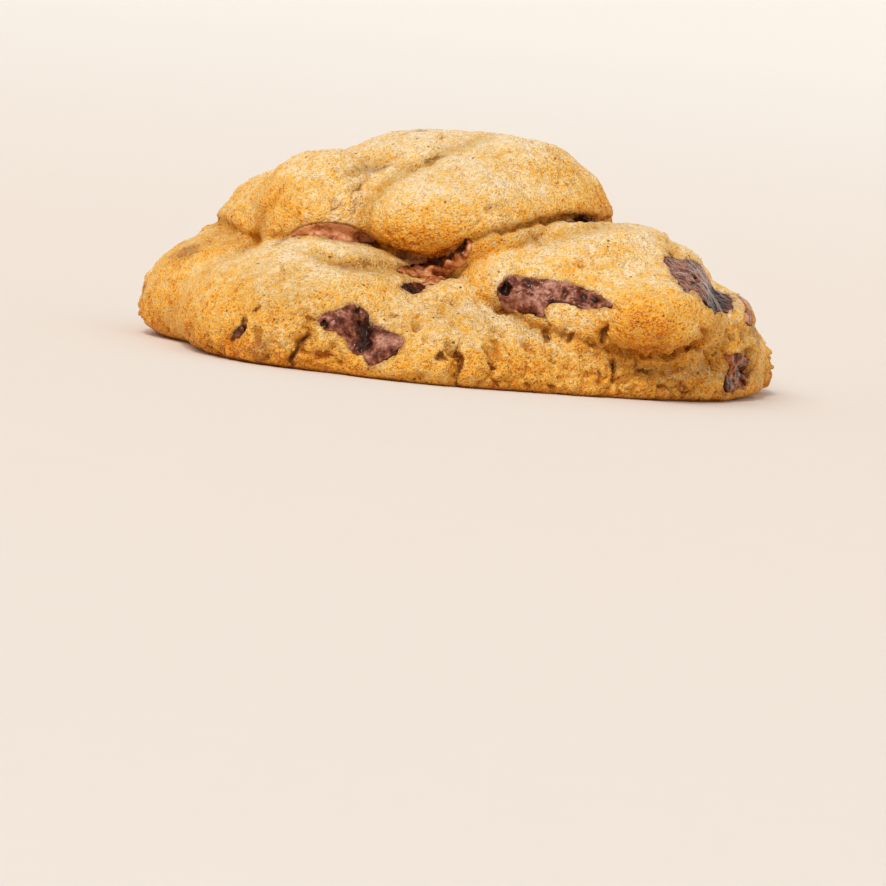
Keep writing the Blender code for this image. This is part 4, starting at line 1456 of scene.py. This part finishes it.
@dataclass
class Studio:
    """Pale seamless paper, soft daylight from the upper left and the camera."""

    floor_radius: float = 6.0
    wall_height: float = 3.0
    sun_strength: float = 1.04
    sky_strength: float = 0.62
    glint_strength: float = 0.85
    fill_strength: float = 0.66
    distance: float = 1.2
    elevation: float = 4.9
    roll: float = 6.0
    pixel: float = 0.092 / 634
    half_picture: float = 443
    aim: tuple = (-10, -78)
    light_colour: tuple = (1.0, 0.985, 0.955)
    room_colour: tuple = (1.0, 0.985, 0.965, 1.0)

    def build(self) -> None:
        """Set up the paper, the lights and the camera."""
        self._paper()
        self._lights()
        self._camera()

    def _paper(self) -> None:
        """Lay the floor, which sweeps up far behind the cookie on every side."""
        bend = 1.6
        profile = [(0.0, 0.0), (0.6, 0.0), (2.0, 0.0), (self.floor_radius - bend, 0.0)]
        for step in range(1, 13):
            angle = step / 12 * math.pi / 2
            profile.append((self.floor_radius - bend + bend * math.sin(angle), bend * (1 - math.cos(angle))))
        profile.append((self.floor_radius, self.wall_height))
        form = bmesh.new()
        centre = form.verts.new((0, 0, 0))
        around = 96
        rings = []
        for radius, height in profile[1:]:
            ring = []
            for turn in range(around):
                angle = turn / around * math.tau
                ring.append(form.verts.new((radius * math.cos(angle), radius * math.sin(angle), height)))
            rings.append(ring)
        for turn in range(around):
            after = (turn + 1) % around
            form.faces.new((centre, rings[0][turn], rings[0][after]))
            for inner, outer in zip(rings, rings[1:]):
                form.faces.new((inner[turn], outer[turn], outer[after], inner[after]))
        mesh = bpy.data.meshes.new("paper")
        form.to_mesh(mesh)
        form.free()
        mesh.shade_smooth()
        mesh.materials.append(StudioPaper().material())
        paper = bpy.data.objects.new("paper", mesh)
        bpy.context.scene.collection.objects.link(paper)

    def _lights(self) -> None:
        """Add the glow of the room, the soft key light, a glint and a fill."""
        scene = bpy.context.scene
        world = bpy.data.worlds.new("room")
        world.use_nodes = True
        glow = world.node_tree.nodes["Background"]
        glow.inputs["Color"].default_value = self.room_colour
        glow.inputs["Strength"].default_value = self.sky_strength
        scene.world = world
        self._sun("window", self.sun_strength, 34.0, (-0.48, -0.70, 0.98))
        self._sun("glint", self.glint_strength, 10.0, (-0.20, -0.66, 0.95))
        self._sun("fill", self.fill_strength, 30.0, (0.80, -0.70, 0.28))

    def _sun(self, name: str, strength: float, angle: float, toward: tuple) -> None:
        """Add a broad far light.

        Args:
            name: Its name.
            strength: Its strength.
            angle: How broad it looks, in degrees.
            toward: The direction that it is seen in from the cookie.
        """
        light = bpy.data.lights.new(name, "SUN")
        light.energy = strength
        light.angle = math.radians(angle)
        light.color = self.light_colour
        lamp = bpy.data.objects.new(name, light)
        lamp.rotation_euler = Vector(toward).to_track_quat("Z", "Y").to_euler()
        bpy.context.scene.collection.objects.link(lamp)

    def _camera(self) -> None:
        """Set the camera where the photograph was taken from."""
        tilt, roll = math.radians(self.elevation), math.radians(self.roll)
        back = Vector((0, -math.cos(tilt), math.sin(tilt)))
        level = Vector((1, 0, 0))
        upright = Vector((0, math.sin(tilt), math.cos(tilt)))
        right = level * math.cos(roll) + upright * math.sin(roll)
        up = upright * math.cos(roll) - level * math.sin(roll)
        aim = right * (self.aim[0] * self.pixel) + up * (self.aim[1] * self.pixel)
        lens = bpy.data.cameras.new("camera")
        lens.sensor_width = 36
        lens.lens = lens.sensor_width / 2 / (self.half_picture * self.pixel / self.distance)
        lens.clip_start = 0.01
        lens.clip_end = 50
        camera = bpy.data.objects.new("camera", lens)
        turn = Matrix((right, up, back)).transposed().to_4x4()
        camera.matrix_world = Matrix.Translation(aim + back * self.distance) @ turn
        bpy.context.scene.collection.objects.link(camera)
        bpy.context.scene.camera = camera


def report(piece: bpy.types.Object) -> None:
    """Say what a piece has come to."""
    triangles = sum(len(face.vertices) - 2 for face in piece.data.polygons)
    LOG.info("%s: %d triangles", piece.name, triangles)


def main() -> None:
    """Build the cookie's looks in order, then the studio."""
    logging.basicConfig(level=logging.INFO, format="%(message)s")
    bpy.context.scene.view_settings.view_transform = "Standard"
    dough = Dough()
    crust = dough.build(BakedDough())
    report(crust)
    chocolate = Chocolate(dough)
    finish = MilkChocolate().material()
    for name, chunk in CHUNKS.items():
        piece = chocolate.build(f"{name}_melted", chunk, finish)
        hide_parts(name)
        report(piece)
    for name, chunk in BITS.items():
        report(chocolate.build(name, chunk, finish))
    report(Crumbs().build(crust))
    Studio().build()


if __name__ == "__main__":
    main()
